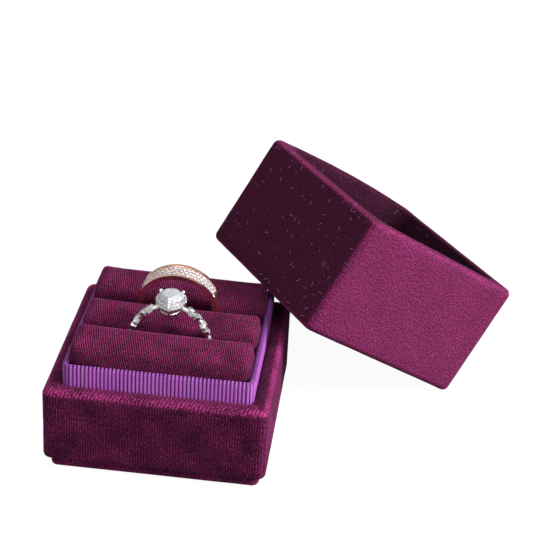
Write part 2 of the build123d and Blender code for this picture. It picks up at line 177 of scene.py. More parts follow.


# %% [markdown]
# ## Dressing a piece
#
# Every finished piece gets its finish last. The construction parts the piece stands for are then hidden,
# and the piece is hung on the body that carries it when the box comes apart.

# %% Dress


def dress(piece, material, slot, body, *replaced):
    """Gives a finished piece its material, hides the parts it stands for and hangs it on the body that
    carries it.
    """
    piece.data.materials.clear()
    piece.data.materials.append(material)
    if replaced:
        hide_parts(*replaced)
    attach(piece, body)
    print(f"{piece.name}: {len(piece.data.polygons)} faces")


# %% [markdown]
# ## Colours and nodes
#
# Colours are picked on a screen, but a renderer adds light in linear values, so each is converted
# once. Every finish is a small tree of nodes. A socket takes either a fixed value or a wire from another
# node, and `feed` lets the rest of the lesson write both in the same way.

# %% Screen colour to linear


def colour(red, green, blue):
    def linear(value):
        share = value / 255
        return share / 12.92 if share <= 0.04045 else ((share + 0.055) / 1.055) ** 2.4
    return (linear(red), linear(green), linear(blue), 1.0)


print("a middle grey on the screen is", round(colour(128, 128, 128)[0], 3), "in linear light")

# %% Nodes and wires


def new_material(name):
    """A material with its node tree and its one main shader."""
    material = bpy.data.materials.new(name)
    material.use_nodes = True
    tree = material.node_tree
    return material, tree, tree.nodes["Principled BSDF"]


def feed(tree, socket, value):
    """Gives a socket a fixed value, or a wire if the value is another node's output."""
    if isinstance(value, bpy.types.NodeSocket):
        tree.links.new(value, socket)
    else:
        socket.default_value = value


def fill_in(tree, node, values):
    """Feeds a node's sockets by their names."""
    for name, value in values.items():
        feed(tree, node.inputs[name], value)


def add_node(tree, kind, **settings):
    """Adds a node. Names that are sockets are fed, and the others are settings of the node."""
    node = tree.nodes.new("ShaderNode" + kind)
    for name, value in settings.items():
        if hasattr(node, name) and name not in node.inputs:
            setattr(node, name, value)
        else:
            feed(tree, node.inputs[name], value)
    return node


# %% Sums, waves, noise and mixes


def maths(tree, operation, first, second=0.0, third=0.0):
    """One sum on values or wires, and its result."""
    node = tree.nodes.new("ShaderNodeMath")
    node.operation = operation
    for socket, value in zip(node.inputs, (first, second, third)):
        feed(tree, socket, value)
    return node.outputs[0]


def waves(tree, distance, pitch):
    """A wave between 0 and 1 that repeats after each pitch."""
    turn = maths(tree, "MULTIPLY", distance, 2 * math.pi / pitch)
    return maths(tree, "MULTIPLY_ADD", maths(tree, "SINE", turn), 0.5, 0.5)


def noise(tree, where, scale, detail, roughness=0.5):
    node = add_node(tree, "TexNoise", Vector=where, Scale=scale, Detail=detail, Roughness=roughness)
    return node.outputs["Fac"]


def between(tree, value, low, high):
    """0 up to low, 1 from high on, and a straight line between."""
    return add_node(tree, "MapRange", **{"Value": value, "From Min": low, "From Max": high}).outputs[0]


def blend(tree, share, first, second):
    """A mix of two colours: the first one at 0 and the second one at 1."""
    node = add_node(tree, "Mix", data_type="RGBA", clamp_factor=True)
    factor, first_colour, second_colour = node.inputs["Factor"], node.inputs[6], node.inputs[7]
    for socket, value in ((factor, share), (first_colour, first), (second_colour, second)):
        feed(tree, socket, value)
    return node.outputs[2]


def relief(tree, height, strength, depth):
    """The surface's direction with fine relief, for a shader's Normal socket."""
    return add_node(tree, "Bump", Strength=strength, Distance=depth, Height=height).outputs[0]


# %% [markdown]
# ## Camera
#
# The picture is taken from a little above and just left of straight ahead, with a long lens from about 40
# cm, which is why the box hardly narrows towards the back. The camera was rolled by three degrees. We turn
# those three angles into the camera's own axes.

# %% Place the camera
camera_place = Vector((52.37, -342.47, 234.48)) * mm
look_down = 28.577
look_left = 4.955
camera_roll = 3.191
camera_lens = 108.26
sensor_width = 36.0


def camera_axes(down, left, roll):
    down, left, roll = (math.radians(a) for a in (down, left, roll))
    ahead = Vector((-math.sin(left) * math.cos(down), math.cos(left) * math.cos(down), -math.sin(down)))
    level = Vector((math.cos(left), math.sin(left), 0))
    above = level.cross(ahead)
    right = level * math.cos(roll) + above * math.sin(roll)
    return right, right.cross(ahead), -ahead


camera_data = bpy.data.cameras.new("camera")
camera_data.lens = camera_lens
camera_data.sensor_width = sensor_width
camera_data.clip_start = 10 * mm
camera = bpy.data.objects.new("camera", camera_data)
turned = Matrix(camera_axes(look_down, look_left, camera_roll)).transposed()
camera.matrix_world = Matrix.Translation(camera_place) @ turned.to_4x4()
bpy.context.scene.collection.objects.link(camera)
bpy.context.scene.camera = camera
print("camera at", [round(v / mm) for v in camera.matrix_world.translation], "mm")

# %% [markdown]
# ## Floor and light
#
# The picture has a white ground. The floor is a matt sheet that glows for the camera, so it reads as white,
# and it keeps a little tone of its own, so it still takes a soft shadow. One large lamp stands at the right
# front, as the bright right wall of the lid shows, with a weaker one over the box and a faint one in front,
# a little to the left.

# %% Floor and white ground
white = (1, 1, 1, 1)
mirror_share = 0.6
floor_glow = 0.95
floor_shade = 0.12
floor_size = 6.0
surround = 0.14


def seen_directly(tree):
    """1 for what camera or stone see, a part of it for metal, and 0 for light on the object."""
    path = add_node(tree, "LightPath")
    mirrored = maths(tree, "MULTIPLY", path.outputs["Is Glossy Ray"], mirror_share)
    seen = maths(tree, "MAXIMUM", path.outputs["Is Camera Ray"], mirrored)
    return maths(tree, "MAXIMUM", seen, path.outputs["Is Transmission Ray"])


def floor_material():
    material, tree, shader = new_material("pale_floor")
    fill_in(tree, shader, {
        "Base Color": (floor_shade, floor_shade, floor_shade, 1),
        "Roughness": 1.0,
        "Specular IOR Level": 0.0,
        "Emission Color": white,
        "Emission Strength": maths(tree, "MULTIPLY", seen_directly(tree), floor_glow),
    })
    return material


pick_none()
bpy.ops.mesh.primitive_plane_add(size=floor_size, location=(0, 0, 0))
floor = bpy.context.object
floor.name = "floor"
floor.data.materials.append(floor_material())

world = bpy.data.worlds.new("studio")
bpy.context.scene.world = world
world.use_nodes = True
sky = world.node_tree
strength = maths(sky, "MAXIMUM", seen_directly(sky), surround)
fill_in(sky, sky.nodes["Background"], {"Color": white, "Strength": strength})
print("floor", floor_size, "m wide, light from all round", surround)

# %% Lamps
box_middle = Vector((20, 15, 20)) * mm


def add_lamp(name, direction, distance, size, power):
    """A square soft lamp that looks at the middle of the box."""
    data = bpy.data.lights.new(name, "AREA")
    data.size = size
    data.energy = power
    lamp = bpy.data.objects.new(name, data)
    aim = Vector(direction).normalized()
    lamp.location = box_middle + aim * distance
    lamp.rotation_euler = aim.to_track_quat("Z", "Y").to_euler()
    bpy.context.scene.collection.objects.link(lamp)


add_lamp("key_lamp", direction=(0.88, -0.05, 0.47), distance=0.9, size=0.30, power=13.0)
add_lamp("top_lamp", direction=(0.10, -0.20, 1.0), distance=0.9, size=0.6, power=4.0)
add_lamp("front_lamp", direction=(-0.15, -0.9, 0.35), distance=1.0, size=0.4, power=2.4)
bpy.context.scene.view_settings.view_transform = "Standard"

# %% [markdown]
# ## Velvet
#
# The box is covered in plum velvet. Seen close, its pile stands in fine rows 0.65 mm apart that run up the
# walls and over the rim, and single fibres catch the light as bright specks. Where the cloth curves away
# from us it glows, which is what the sheen layer of the shader does. The rows must follow the cloth round
# corners, so the pattern reads a UV map in millimetres, `weave`: u runs across the rows and v along them.

# %% The weave map
row_pitch = 0.65
rim_row_pitch = 0.9
rim_skew = 0.45
wall_limit = 0.6
rim_limit = 0.35


def weave_map(piece, rim_height=None):
    """Lays the weave map on a box-shaped cover that stands upright about the Z axis.

    Walls take the level distance for u and the height for v. Above rim_height the rows lean over.
    """
    mesh = piece.data
    weave = mesh.uv_layers.new(name="weave")
    for face in mesh.polygons:
        centre = face.center
        normal = face.normal
        on_wall = abs(normal.z) < wall_limit
        across_x = abs(normal.y) > abs(normal.x) if on_wall else abs(centre.y) > abs(centre.x)
        over_rim = rim_height is not None and centre.z > rim_height and normal.z > rim_limit
        for loop in face.loop_indices:
            x, y, z = (value / mm for value in mesh.vertices[mesh.loops[loop].vertex_index].co)
            u, inward = (x, y) if across_x else (y, x)
            if over_rim:
                u = (u + rim_skew * abs(inward)) * row_pitch / rim_row_pitch
            weave.data[loop].uv = (u, z if on_wall else inward)


print("rows of pile every", row_pitch, "mm on the walls and every", rim_row_pitch, "mm on the rim")


# %% [markdown]
# Velvet also picks up loose fibres. Drawing each as a thread would cost many faces for something a few
# hundredths of a millimetre thick, so they are drawn in the shader: a Voronoi pattern gives one spot per
# cell, and a chance decides whether a short bent line lies there and which way it points.

# %% Loose fibres
lint_pitch = 1.9
lint_length = 0.55
lint_width = 0.06
lint_bend = 0.4
lint_colour = colour(236, 206, 226)
lint_tint = 0.45


def loose_fibres(tree, weave, share):
    """Where short bent fibres lie on the cloth, and their colour. A share of the cells has one."""
    cells = add_node(tree, "TexVoronoi", voronoi_dimensions="2D", Vector=weave, Scale=1 / lint_pitch)
    chance = add_node(tree, "SeparateColor", Color=cells.outputs["Color"])
    away = tree.nodes.new("ShaderNodeVectorMath")
    away.operation = "SUBTRACT"
    tree.links.new(weave, away.inputs[0])
    tree.links.new(cells.outputs["Position"], away.inputs[1])
    turned = add_node(tree, "VectorRotate", rotation_type="Z_AXIS", Vector=away.outputs[0],
                      Angle=maths(tree, "MULTIPLY", chance.outputs["Red"], 2 * math.pi))
    split = add_node(tree, "SeparateXYZ", Vector=turned.outputs[0])
    run = split.outputs["Y"]
    bend = maths(tree, "MULTIPLY", maths(tree, "MULTIPLY", run, run), lint_bend)
    across = maths(tree, "ABSOLUTE", maths(tree, "SUBTRACT", split.outputs["X"], bend))
    thin = maths(tree, "LESS_THAN", across, lint_width)
    reach = maths(tree, "MULTIPLY_ADD", chance.outputs["Blue"], lint_length, lint_length / 3)
    short = maths(tree, "LESS_THAN", maths(tree, "ABSOLUTE", run), reach)
    there = maths(tree, "LESS_THAN", chance.outputs["Green"], share)
    plain = maths(tree, "MULTIPLY_ADD", chance.outputs["Blue"], 0.8, 0.2)
    shape = maths(tree, "MULTIPLY", maths(tree, "MULTIPLY", thin, short), there)
    tint = blend(tree, lint_tint, lint_colour, cells.outputs["Color"])
    return maths(tree, "MULTIPLY", shape, plain), tint


print("loose fibres: a cell every", lint_pitch, "mm, each fibre", lint_width * 2, "mm thick")


# %% [markdown]
# The cloth's tone is rows of pile times fine fibre, between a dark and a light plum. Light and shade are
# also
# painted into it: where the cloth should lie in shade it is painted dark and has little sheen, and along a
# fold a painted highlight makes it bright. A point attribute carries that on each piece: 1 is painted
# shade, 0 is plain and -1 is a painted highlight.

# %% The velvet shader
painted_shade_depth = 0.72
painted_shade_colour = colour(30, 10, 22)
velvet_glow = colour(226, 108, 190)
velvet_sheen = 0.3
wobble_scale = 0.35
patch_scale = 0.12
middle_tone = 0.85
highlight_gain = 1.6
fibre_low, fibre_high, spark_high = 0.36, 0.66, 0.78
lint_on_plain = 0.16
lint_on_dark = 0.4
fibre_relief = 0.8
pile_depth = 0.12 * mm


def velvet(name, dark, light, row_depth, speck=1.0, grain=0.3, length=2.5, wobble_width=0.5, patches=1.3,
           lint=0.03):
    """Plum velvet: pile rows, brushed patches, painted fibre glints, painted shade and highlights, and a
    grazing sheen.
    """
    material, tree, shader = new_material(name)
    weave = add_node(tree, "UVMap", uv_map="weave").outputs[0]
    split = add_node(tree, "SeparateXYZ", Vector=weave)
    wobble = noise(tree, weave, scale=wobble_scale, detail=2.0)
    row = waves(tree, maths(tree, "MULTIPLY_ADD", wobble, wobble_width, split.outputs["X"]), row_pitch)
    stretch = add_node(tree, "Mapping", Vector=weave, Scale=(1 / grain, 1 / grain / length, 1.0)).outputs[0]
    fibre = noise(tree, stretch, scale=1.0, detail=3.0, roughness=0.65)
    patch = noise(tree, weave, scale=patch_scale, detail=3.0, roughness=0.6)
    painted_light = add_node(tree, "Attribute", attribute_name="painted_light").outputs["Fac"]
    # The attribute is painted shade above 0 and a painted highlight below 0.
    shading = maths(tree, "MAXIMUM", painted_light, 0.0)
    highlighting = maths(tree, "MAXIMUM", maths(tree, "MULTIPLY", painted_light, -1.0), 0.0)

    ridge = maths(tree, "MULTIPLY_ADD", row, row_depth, 1 - row_depth)
    fine = between(tree, fibre, fibre_low, fibre_high)
    brushed = maths(tree, "MULTIPLY_ADD", patch, patches, middle_tone - patches / 2)
    # Painted highlight: the tone is raised where the attribute is below 0.
    highlit = maths(tree, "MULTIPLY", brushed, maths(tree, "MULTIPLY_ADD", highlighting, highlight_gain, 1.0))
    tone = maths(tree, "MULTIPLY", maths(tree, "MULTIPLY", ridge, fine), highlit)
    pile = blend(tree, tone, dark, light)
    # Painted glints: the brightest fibres are mixed towards the sheen colour.
    bright = maths(tree, "MULTIPLY", between(tree, fibre, fibre_high, spark_high), speck)
    sparkling = blend(tree, bright, pile, velvet_glow)
    # Painted shade: the colour is darkened towards a dark plum where the attribute is above 0.
    dimmed = blend(tree, maths(tree, "MULTIPLY", shading, painted_shade_depth), sparkling, painted_shade_colour)
    fibres, fibre_tone = loose_fibres(tree, weave, lint)
    visible = maths(tree, "MULTIPLY_ADD", shading, lint_on_dark, lint_on_plain)
    littered = blend(tree, maths(tree, "MULTIPLY", fibres, visible), dimmed, fibre_tone)

    height = maths(tree, "MULTIPLY_ADD", row, row_depth, maths(tree, "MULTIPLY", fibre, fibre_relief))
    fill_in(tree, shader, {
        "Base Color": littered,
        "Roughness": 0.85,
        "Specular IOR Level": 0.08,
        "Sheen Weight": maths(tree, "MULTIPLY_ADD", shading, -velvet_sheen * painted_shade_depth, velvet_sheen),
        "Sheen Roughness": 0.35,
        "Sheen Tint": velvet_glow,
        "Normal": relief(tree, height, strength=0.8, depth=pile_depth),
    })
    return material


# %% Four velvets
base_velvet = velvet("base_velvet", colour(22, 4, 14), colour(166, 54, 118), row_depth=0.7, patches=2.5)
roll_velvet = velvet("roll_velvet", colour(18, 3, 11), colour(182, 61, 124), row_depth=0.9,
                     wobble_width=0.2, grain=0.34, length=1.5, patches=1.8)
lid_velvet = velvet("lid_velvet", colour(40, 10, 27), colour(172, 60, 122), row_depth=0.1, grain=0.38,
                    length=1.2, speck=0.5, patches=0.6, lint=0.2)
# The lining velvet is darker than the lid's, partly its own tone and partly painted shade of the lid's
# inside.
lining_velvet = velvet("lining_velvet", colour(30, 8, 20), colour(122, 44, 88), row_depth=0.75, lint=0.12)
print("velvets:", [m.name for m in (base_velvet, roll_velvet, lid_velvet, lining_velvet)])

# %% Painted light and shade on the velvet
velvet_fold = 50


def ramp(value, low, high):
    """0 up to low, 1 from high on, and a straight line between."""
    return min(1.0, max(0.0, (value - low) / (high - low)))


def lay_painted_light(piece, shading):
    """Stores the painted light at each point, from a function of spot and normal: shade above 0, highlight
    below 0.
    """
    painted_light = piece.data.attributes.new("painted_light", "FLOAT", "POINT")
    for vertex in piece.data.vertices:
        painted_light.data[vertex.index].value = min(1.0, max(-1.0, shading(vertex.co, vertex.normal)))


def dress_in_velvet(piece, material, body, *replaced):
    """Shades a piece of velvet smooth except at its folds, and dresses it."""
    done(piece, velvet_fold)
    dress(piece, material, "plum_velvet", body, *replaced)


# %% [markdown]
# ## The velvet covers of base and lid
#
# Each half is a box of board with velvet pulled round it, over the rim and a short way down inside. Such a
# skin is one outline, a square with round corners, that changes its size on the way up. We draw that
# outline once as a ring of edges, and then extrude it level by level: round the foot, up the wall, over the
# rim and down inside. A plain scale would blow the corner radius up with the size, so each new ring is
# fitted to its own half width and corner radius.

# %% Rings of a square with round corners
side_cuts = 15
corner_cuts = 5
same_point = 1e-7


def arc(start, end, steps, radius):
    """Points (across, up) on a turn, without its first point. Angles in degrees from straight out."""
    angles = [math.radians(start + (end - start) * i / steps) for i in range(1, steps + 1)]
    return [(radius * math.cos(a), radius * math.sin(a)) for a in angles]


def first_ring(name, half, corner, height):
    """A flat square with round corners, as an open ring of edges."""
    pick_none()
    bpy.ops.mesh.primitive_plane_add(size=2 * half, location=(0, 0, height))
    bpy.ops.object.transform_apply(location=True, rotation=False, scale=True)
    piece = named(bpy.context.object, name)
    edit(piece, "VERT")
    pick_all()
    bpy.ops.mesh.bevel(offset=corner, segments=corner_cuts, affect="VERTICES")
    bpy.ops.mesh.select_mode(type="EDGE")
    drop_picks()
    mesh = bmesh.from_edit_mesh(piece.data)
    for edge in mesh.edges:
        edge.select_set(edge.calc_length() > half)
    bpy.ops.mesh.subdivide(number_cuts=side_cuts)
    pick_all()
    bpy.ops.mesh.delete(type="ONLY_FACE")
    pick_all()
    return piece


def fit_ring(piece, old, new):
    """Moves the picked ring from one half width, corner radius and height to the next."""
    half, corner, _ = old
    new_half, new_corner, height = new
    straight = half - corner
    new_straight = new_half - new_corner
    mesh = bmesh.from_edit_mesh(piece.data)
    for vertex in (v for v in mesh.verts if v.select):
        moved = []
        for value in (abs(vertex.co.x), abs(vertex.co.y)):
            if value > straight + same_point:
                moved.append(new_straight + (value - straight) / corner * new_corner)
            else:
                moved.append(value / straight * new_straight)
        vertex.co = (math.copysign(moved[0], vertex.co.x), math.copysign(moved[1], vertex.co.y), height)
    bmesh.update_edit_mesh(piece.data)


def rising_skin(name, levels):
    """A skin that goes through a list of levels, each a half width, a corner radius and a height."""
    piece = first_ring(name, *levels[0])
    for old, new in zip(levels, levels[1:]):
        bpy.ops.mesh.extrude_region_move()
        fit_ring(piece, old, new)
    face_outwards()
    return done(piece)


def close_ring(piece, height):
    """Closes the open ring of edges at one height with a face."""
    edit(piece, "EDGE")
    mesh = bmesh.from_edit_mesh(piece.data)
    for edge in mesh.edges:
        level = all(abs(v.co.z - height) < touching for v in edge.verts)
        edge.select_set(edge.is_boundary and level)
    bpy.ops.mesh.edge_face_add()
    face_outwards()
    return done(piece)


# %% The levels of one half
wrap_low, wrap_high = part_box("base_velvet_wrap")
box_half = (wrap_high.x - wrap_low.x) / 2
corner_radius = 2.3 * mm
outer_rim = 1.7 * mm
inner_rim = 0.9 * mm
foot_steps, wall_steps, rim_steps, fold_steps, inner_steps = 5, 9, 6, 4, 3


def half_levels(low, high, inside, inner_corner, foot, turn_in, foot_opening=0.0):
    """The levels of one half's cloth, from the underside over the rim to the turned-in edge."""
    levels = [(foot_opening / 2, corner_radius, low)] if foot_opening else []
    start, start_corner = box_half - foot, corner_radius - foot
    levels.append((start, start_corner, low))
    levels += [(start + x, start_corner + x, low + foot + z) for x, z in arc(-90, 0, foot_steps, foot)]
    wall = high - outer_rim - low - foot
    levels += [(box_half, corner_radius, low + foot + wall * i / wall_steps)
               for i in range(1, wall_steps + 1)]
    levels += [(box_half - outer_rim + x, corner_radius - outer_rim + x, high - outer_rim + z)
               for x, z in arc(0, 90, rim_steps, outer_rim)]
    levels += [(inside + inner_rim - x, inner_corner + inner_rim - x, high - inner_rim + z)
               for x, z in [(0.0, inner_rim)] + arc(90, 0, fold_steps, inner_rim)]
    return levels + [(inside, inner_corner, high - inner_rim - (turn_in - inner_rim) * i / inner_steps)
                     for i in range(1, inner_steps + 1)]


print("box", round(2 * box_half / mm, 1), "mm wide, corners", round(corner_radius / mm, 1), "mm")

# %% [markdown]
# Real cloth on card is never dead flat. A slow noise moves the skin by a tenth of a millimetre, which
# softens the long straight edges against the white ground.

# %% Unevenness and thickness
cloth = 0.8 * mm
cloth_waviness = 0.16 * mm


def soften(piece, amount, size):
    """Moves the skin by a slow cloud noise."""
    clouds = bpy.data.textures.new(piece.name + "_clouds", "CLOUDS")
    clouds.noise_scale = size
    add_modifier(piece, "DISPLACE", texture=clouds, strength=amount, mid_level=0.5, texture_coords="LOCAL")


def thicken(piece, thickness):
    """Gives the skin its thickness, inwards. Its faces have to point outwards already."""
    add_modifier(piece, "SOLIDIFY", thickness=thickness, offset=-1.0, use_even_offset=True)


# %% [markdown]
# ## The base's cover
#
# The base's velvet starts under the box, where the plinth will hide its edge, and ends inside the rim,
# where the ribbon collar covers it. Painted shade darkens its rim beside the ribbon on both sides, most on
# the right under the lid, and its underside, and the right wall a little, and a painted highlight runs
# along the outer fold of the rim. This painted light is laid by place and by the direction of the surface.

# %% Base cover
collar_low, collar_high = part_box("collar_ribbon")
board_gap = 0.05 * mm
rim_rows_depth = 1.8 * mm
base_inside = (collar_high.x - collar_low.x + 2 * board_gap) / 2
base_cover = rising_skin("base_velvet_cover", half_levels(
    wrap_low.z, wrap_high.z, base_inside, corner_radius - cloth,
    foot=1.2 * mm, turn_in=8 * mm, foot_opening=37.6 * mm))
soften(base_cover, cloth_waviness, 7 * mm)
weave_map(base_cover, rim_height=wrap_high.z - rim_rows_depth)
thicken(base_cover, cloth)
fold_start, fold_full = box_half - 1.8 * mm, box_half - 0.9 * mm
rim_start, rim_end = box_half - 1.9 * mm, box_half - 1.0 * mm
# How deep the painted shade is on each rim and on the right wall, and how bright the painted fold highlight
# is.
left_rim_shade, right_rim_shade, right_wall_shade = 0.5, 0.95, 0.12
fold_highlight = 0.7


def base_painted_light(spot, normal):
    """Painted shade beside the ribbon, underneath and on the right wall, and painted highlights on the
    outer folds.
    """
    outer = max(abs(spot.x), abs(spot.y))
    fold = ramp(normal.z, 0.15, 0.5) * ramp(outer, fold_start, fold_full)
    under = ramp(-normal.z, 0.25, 0.7)
    dark = ramp(normal.z, 0.3, 0.8) * (1 - ramp(outer, rim_start, rim_end)) * (abs(spot.x) > abs(spot.y))
    dark *= right_rim_shade if spot.x > 0 else left_rim_shade
    return max(dark, under, right_wall_shade * ramp(normal.x, 0.5, 0.9)) - fold_highlight * fold


lay_painted_light(base_cover, base_painted_light)
dress_in_velvet(base_cover, base_velvet, "base", "base_velvet_wrap")

# %% [markdown]
# ## The lid's cover
#
# The lid is the same kind of box, upside down and tipped against the base. We draw it upright at the
# origin, where the levels are simple, and move the finished mesh with one matrix. That matrix is read from
# the flat board in the lid's closed end, so the cover lies on the construction model however it leans.

# %% The lid's own axes
velvet_thickness = 0.9 * mm


def lid_axes(mesh):
    """The lid's axes, read from the flat square board in its closed end: X level, Z out of the mouth."""
    corners = []
    for vertex in mesh.vertices:
        if all((vertex.co - c).length > 0.1 * mm for c in corners):
            corners.append(vertex.co.copy())
    centre = sum(corners, Vector()) / len(corners)
    first = corners[0]
    others = sorted(corners[1:], key=lambda c: (c - first).length)
    thickness = (others[0] - first).length
    mouth = (others[0] - first).normalized()
    mouth = mouth if mouth.z > 0 else -mouth
    level = mouth.cross(Vector((0, 0, 1))).normalized()
    sides = [(c - first).normalized() for c in others[1:3]]
    side = max(sides, key=lambda s: abs(s.dot(level)))
    side = side if side.x > 0 else -side
    return centre, side, mouth.cross(side), mouth, thickness, (others[1] - first).length


lid_centre, lid_x, lid_y, lid_z, board_thickness, board_width = lid_axes(nodes["lid_top_board"].data)
lid_origin = lid_centre - lid_z * (board_thickness / 2 + velvet_thickness)
lid_place = Matrix.Translation(lid_origin) @ Matrix((lid_x, lid_y, lid_z)).transposed().to_4x4()
lid_half = (board_width - 2 * velvet_thickness) / 2
print("lid tips", round(math.degrees(math.acos(lid_z.z)), 1), "degrees")
print("its opening is", round(2 * lid_half / mm, 1), "mm wide")

# %% Lid cover
lid_height = 32.5 * mm
lid_inner_corner = 5 * mm
lid_turn_in = 9 * mm
lid_cover = rising_skin("lid_velvet_cover", half_levels(
    0, lid_height, lid_half, lid_inner_corner, foot=1.6 * mm, turn_in=lid_turn_in))
close_ring(lid_cover, 0)
soften(lid_cover, cloth_waviness, 8 * mm)
weave_map(lid_cover)
thicken(lid_cover, cloth)
bulge_out = 0.5 * mm
bulge_up = 0.9 * mm
bulge_depth = 12 * mm
bulge_start, bulge_full = box_half - 7 * mm, box_half - 3 * mm


def swell_far_rim(piece):
    """The far rim is a little fuller than the board under it: it swells out and up in its middle."""
    for vertex in piece.data.vertices:
        x, y, z = vertex.co
        near_rim = ramp(z, lid_height - bulge_depth, lid_height)
        bow = math.cos(math.pi / 2 * min(1, abs(y) / box_half))
        share = ramp(-x, bulge_start, bulge_full) * near_rim * bow
        vertex.co += Vector((-bulge_out * share, 0, bulge_up * share))


swell_far_rim(lid_cover)

# %% [markdown]
# One outer wall of the lid looks almost black: its pile lies away from us and it faces away from the key
# lamp, and painted shade makes it darker still. It is the wall that faces most to the left, so we look for
# it among the lid's four sides instead of naming it. Painted shade also darkens the cloth inside, more so
# the deeper it lies, and the top of the rim inside its crest, and a painted highlight runs along the crest.

# %% The lid's painted light
shaded_wall = min((lid_x, -lid_x, lid_y, -lid_y), key=lambda wall: wall.x)
shaded_side = (lid_place.to_3x3().transposed() @ shaded_wall).normalized()
# The wall that faces most to the left, away from the key lamp, gets painted shade.
print("the pile leans away on the wall that faces", [round(v, 2) for v in shaded_wall])
closed_end = 3 * mm
crest_start = box_half - 0.6 * mm
crest_width = 0.5 * mm
rim_width = 0.6 * mm
lid_rim_shade = 0.8
inside_shade = 0.45
crest_highlight = 0.1


def inner_side(spot, normal):
    """1 on the inner face of the lid's walls and 0 on the outer one."""
    level = Vector((spot.x, spot.y, 0)).normalized()
    return ramp(-normal.dot(level), 0.2, 0.5) * (spot.z > closed_end)


def lid_painted_light(spot, normal):
    """Painted shade on one outer wall, inside and on the rim, and a painted highlight along its crest."""
    dark = ramp(normal.dot(shaded_side), 0.82, 0.97)
    outer = max(abs(spot.x), abs(spot.y))
    upwards = ramp(normal.z, 0.3, 0.7)
    edge = upwards * ramp(outer, crest_start, crest_start + crest_width)
    rim = lid_rim_shade * upwards * ramp(-outer, -crest_start, rim_width - crest_start)
    depth = ramp(lid_height - spot.z, 2 * mm, 8 * mm)
    deep = inner_side(spot, normal) * inside_shade * (1 + depth)
    return max(dark * (1 - edge), deep, rim) - crest_highlight * edge


lay_painted_light(lid_cover, lid_painted_light)
lined = [inner_side(face.center, face.normal) > 0.5 for face in lid_cover.data.polygons]
place(lid_cover, lid_place)
dress_in_velvet(lid_cover, lid_velvet, "lid", "lid_velvet_wrap")
lid_cover.data.materials.append(lining_velvet)
for face, is_lining in zip(lid_cover.data.polygons, lined):
    face.material_index = int(is_lining)

# %% [markdown]
# ## The plinth
#
# Under the base lies a thin board of its own, a little smaller, wrapped in the same velvet. It keeps the
# box's bottom edge off the table and, with a painted shadow close under the box, draws the dark line round
# its foot. Its own foot gets a painted highlight.

# %% Plinth cover
plinth_low, plinth_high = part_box("bottom_velvet")
plinth_half = (plinth_high.x - plinth_low.x) / 2
plinth_corner = 1.8 * mm
plinth_edge = 0.6 * mm
plinth_turn_in = 7 * mm
plinth_cloth = 0.5 * mm
plinth_shadow = 1.1 * mm
plinth_foot_highlight = 0.5


def plinth_levels():
    half, corner = plinth_half - plinth_edge, plinth_corner - plinth_edge
    top = plinth_high.z - plinth_edge
    foot = [(half + x, corner + x, plinth_edge + z) for x, z in arc(-90, 0, 4, plinth_edge)]
    head = [(half + x, corner + x, top + z) for x, z in [(plinth_edge, 0.0)] + arc(0, 90, 4, plinth_edge)]
    return [(half, corner, 0.0)] + foot + head + [(plinth_half - plinth_turn_in, corner, plinth_high.z)]


def plinth_painted_light(spot, normal):
    """A painted highlight at the foot and a painted shadow close under the box."""
    shadow = ramp(spot.z, plinth_high.z - plinth_shadow, plinth_high.z)
    return (1 + plinth_foot_highlight) * shadow - plinth_foot_highlight


plinth_cover = close_ring(rising_skin("plinth_velvet_cover", plinth_levels()), 0)
soften(plinth_cover, cloth_waviness / 2, 6 * mm)
weave_map(plinth_cover)
thicken(plinth_cover, plinth_cloth)
lay_painted_light(plinth_cover, plinth_painted_light)
dress_in_velvet(plinth_cover, base_velvet, "base", "bottom_velvet")

# %% [markdown]
# ## The lid's lining
#
# Velvet lines the lid too: a tube of cloth on its four walls, under the turned-in edge of the cover, and a
# thin cushion on the bottom. Both are drawn as rings in the lid's own axes and then moved with the lid's
# matrix.

# %% Lining on the walls
lid_floor = velvet_thickness + board_thickness
lining_steps = 6
lining_shade = 0.85


def wall_lining_levels():
    outer, outer_corner = lid_half + cloth, lid_inner_corner + cloth
    low, high = lid_floor, lid_height - lid_turn_in
    inner = [(lid_half, lid_inner_corner, low + (high - low) * i / lining_steps)
             for i in range(lining_steps + 1)]
    return inner + [(outer, outer_corner, high), (outer, outer_corner, low), inner[0]]


wall_lining = close_up(rising_skin("lid_wall_lining", wall_lining_levels()))
weave_map(wall_lining)
# Painted shade all over the wall lining, deep inside the lid.
lay_painted_light(wall_lining, lambda spot, normal: lining_shade)
place(wall_lining, lid_place)
dress_in_velvet(wall_lining, lining_velvet, "lid", "lid_lining_walls")

# %% [markdown]
# The cushion is a sheet of thin foam under velvet, glued to the lid's bottom. Foam that is held at its edge
# has straight sides, a round shoulder and a low crown. A block with bevels would stay flat on top, so its
# rings grow smaller towards the middle and rise along a curve, and a last small face closes the crown.

# %% Cushion on the lid's bottom
lining_gap = 0.1 * mm
lid_pad_height = 2.4 * mm
lid_pad_edge = 1.4 * mm
lid_pad_sag = 0.4 * mm
least_corner = 0.5 * mm
crown_shares = (0.8, 0.6, 0.4, 0.2, 0.04)


def cushion_levels(half, low, height, edge, sag):
    """Straight sides, a round edge and a low crown that closes in the middle."""
    shoulder = low + height - edge - sag
    levels = [(half, corner_radius, low), (half, corner_radius, shoulder)]
    levels += [(half - edge + x, max(corner_radius - edge + x, least_corner), shoulder + z)
               for x, z in arc(0, 80, 5, edge)]
    crown_low = levels[-1][2]
    for share in crown_shares:
        lift = (low + height - crown_low) * math.sqrt(1 - share)
        levels.append((half * share, corner_radius * share, crown_low + lift))
    return levels


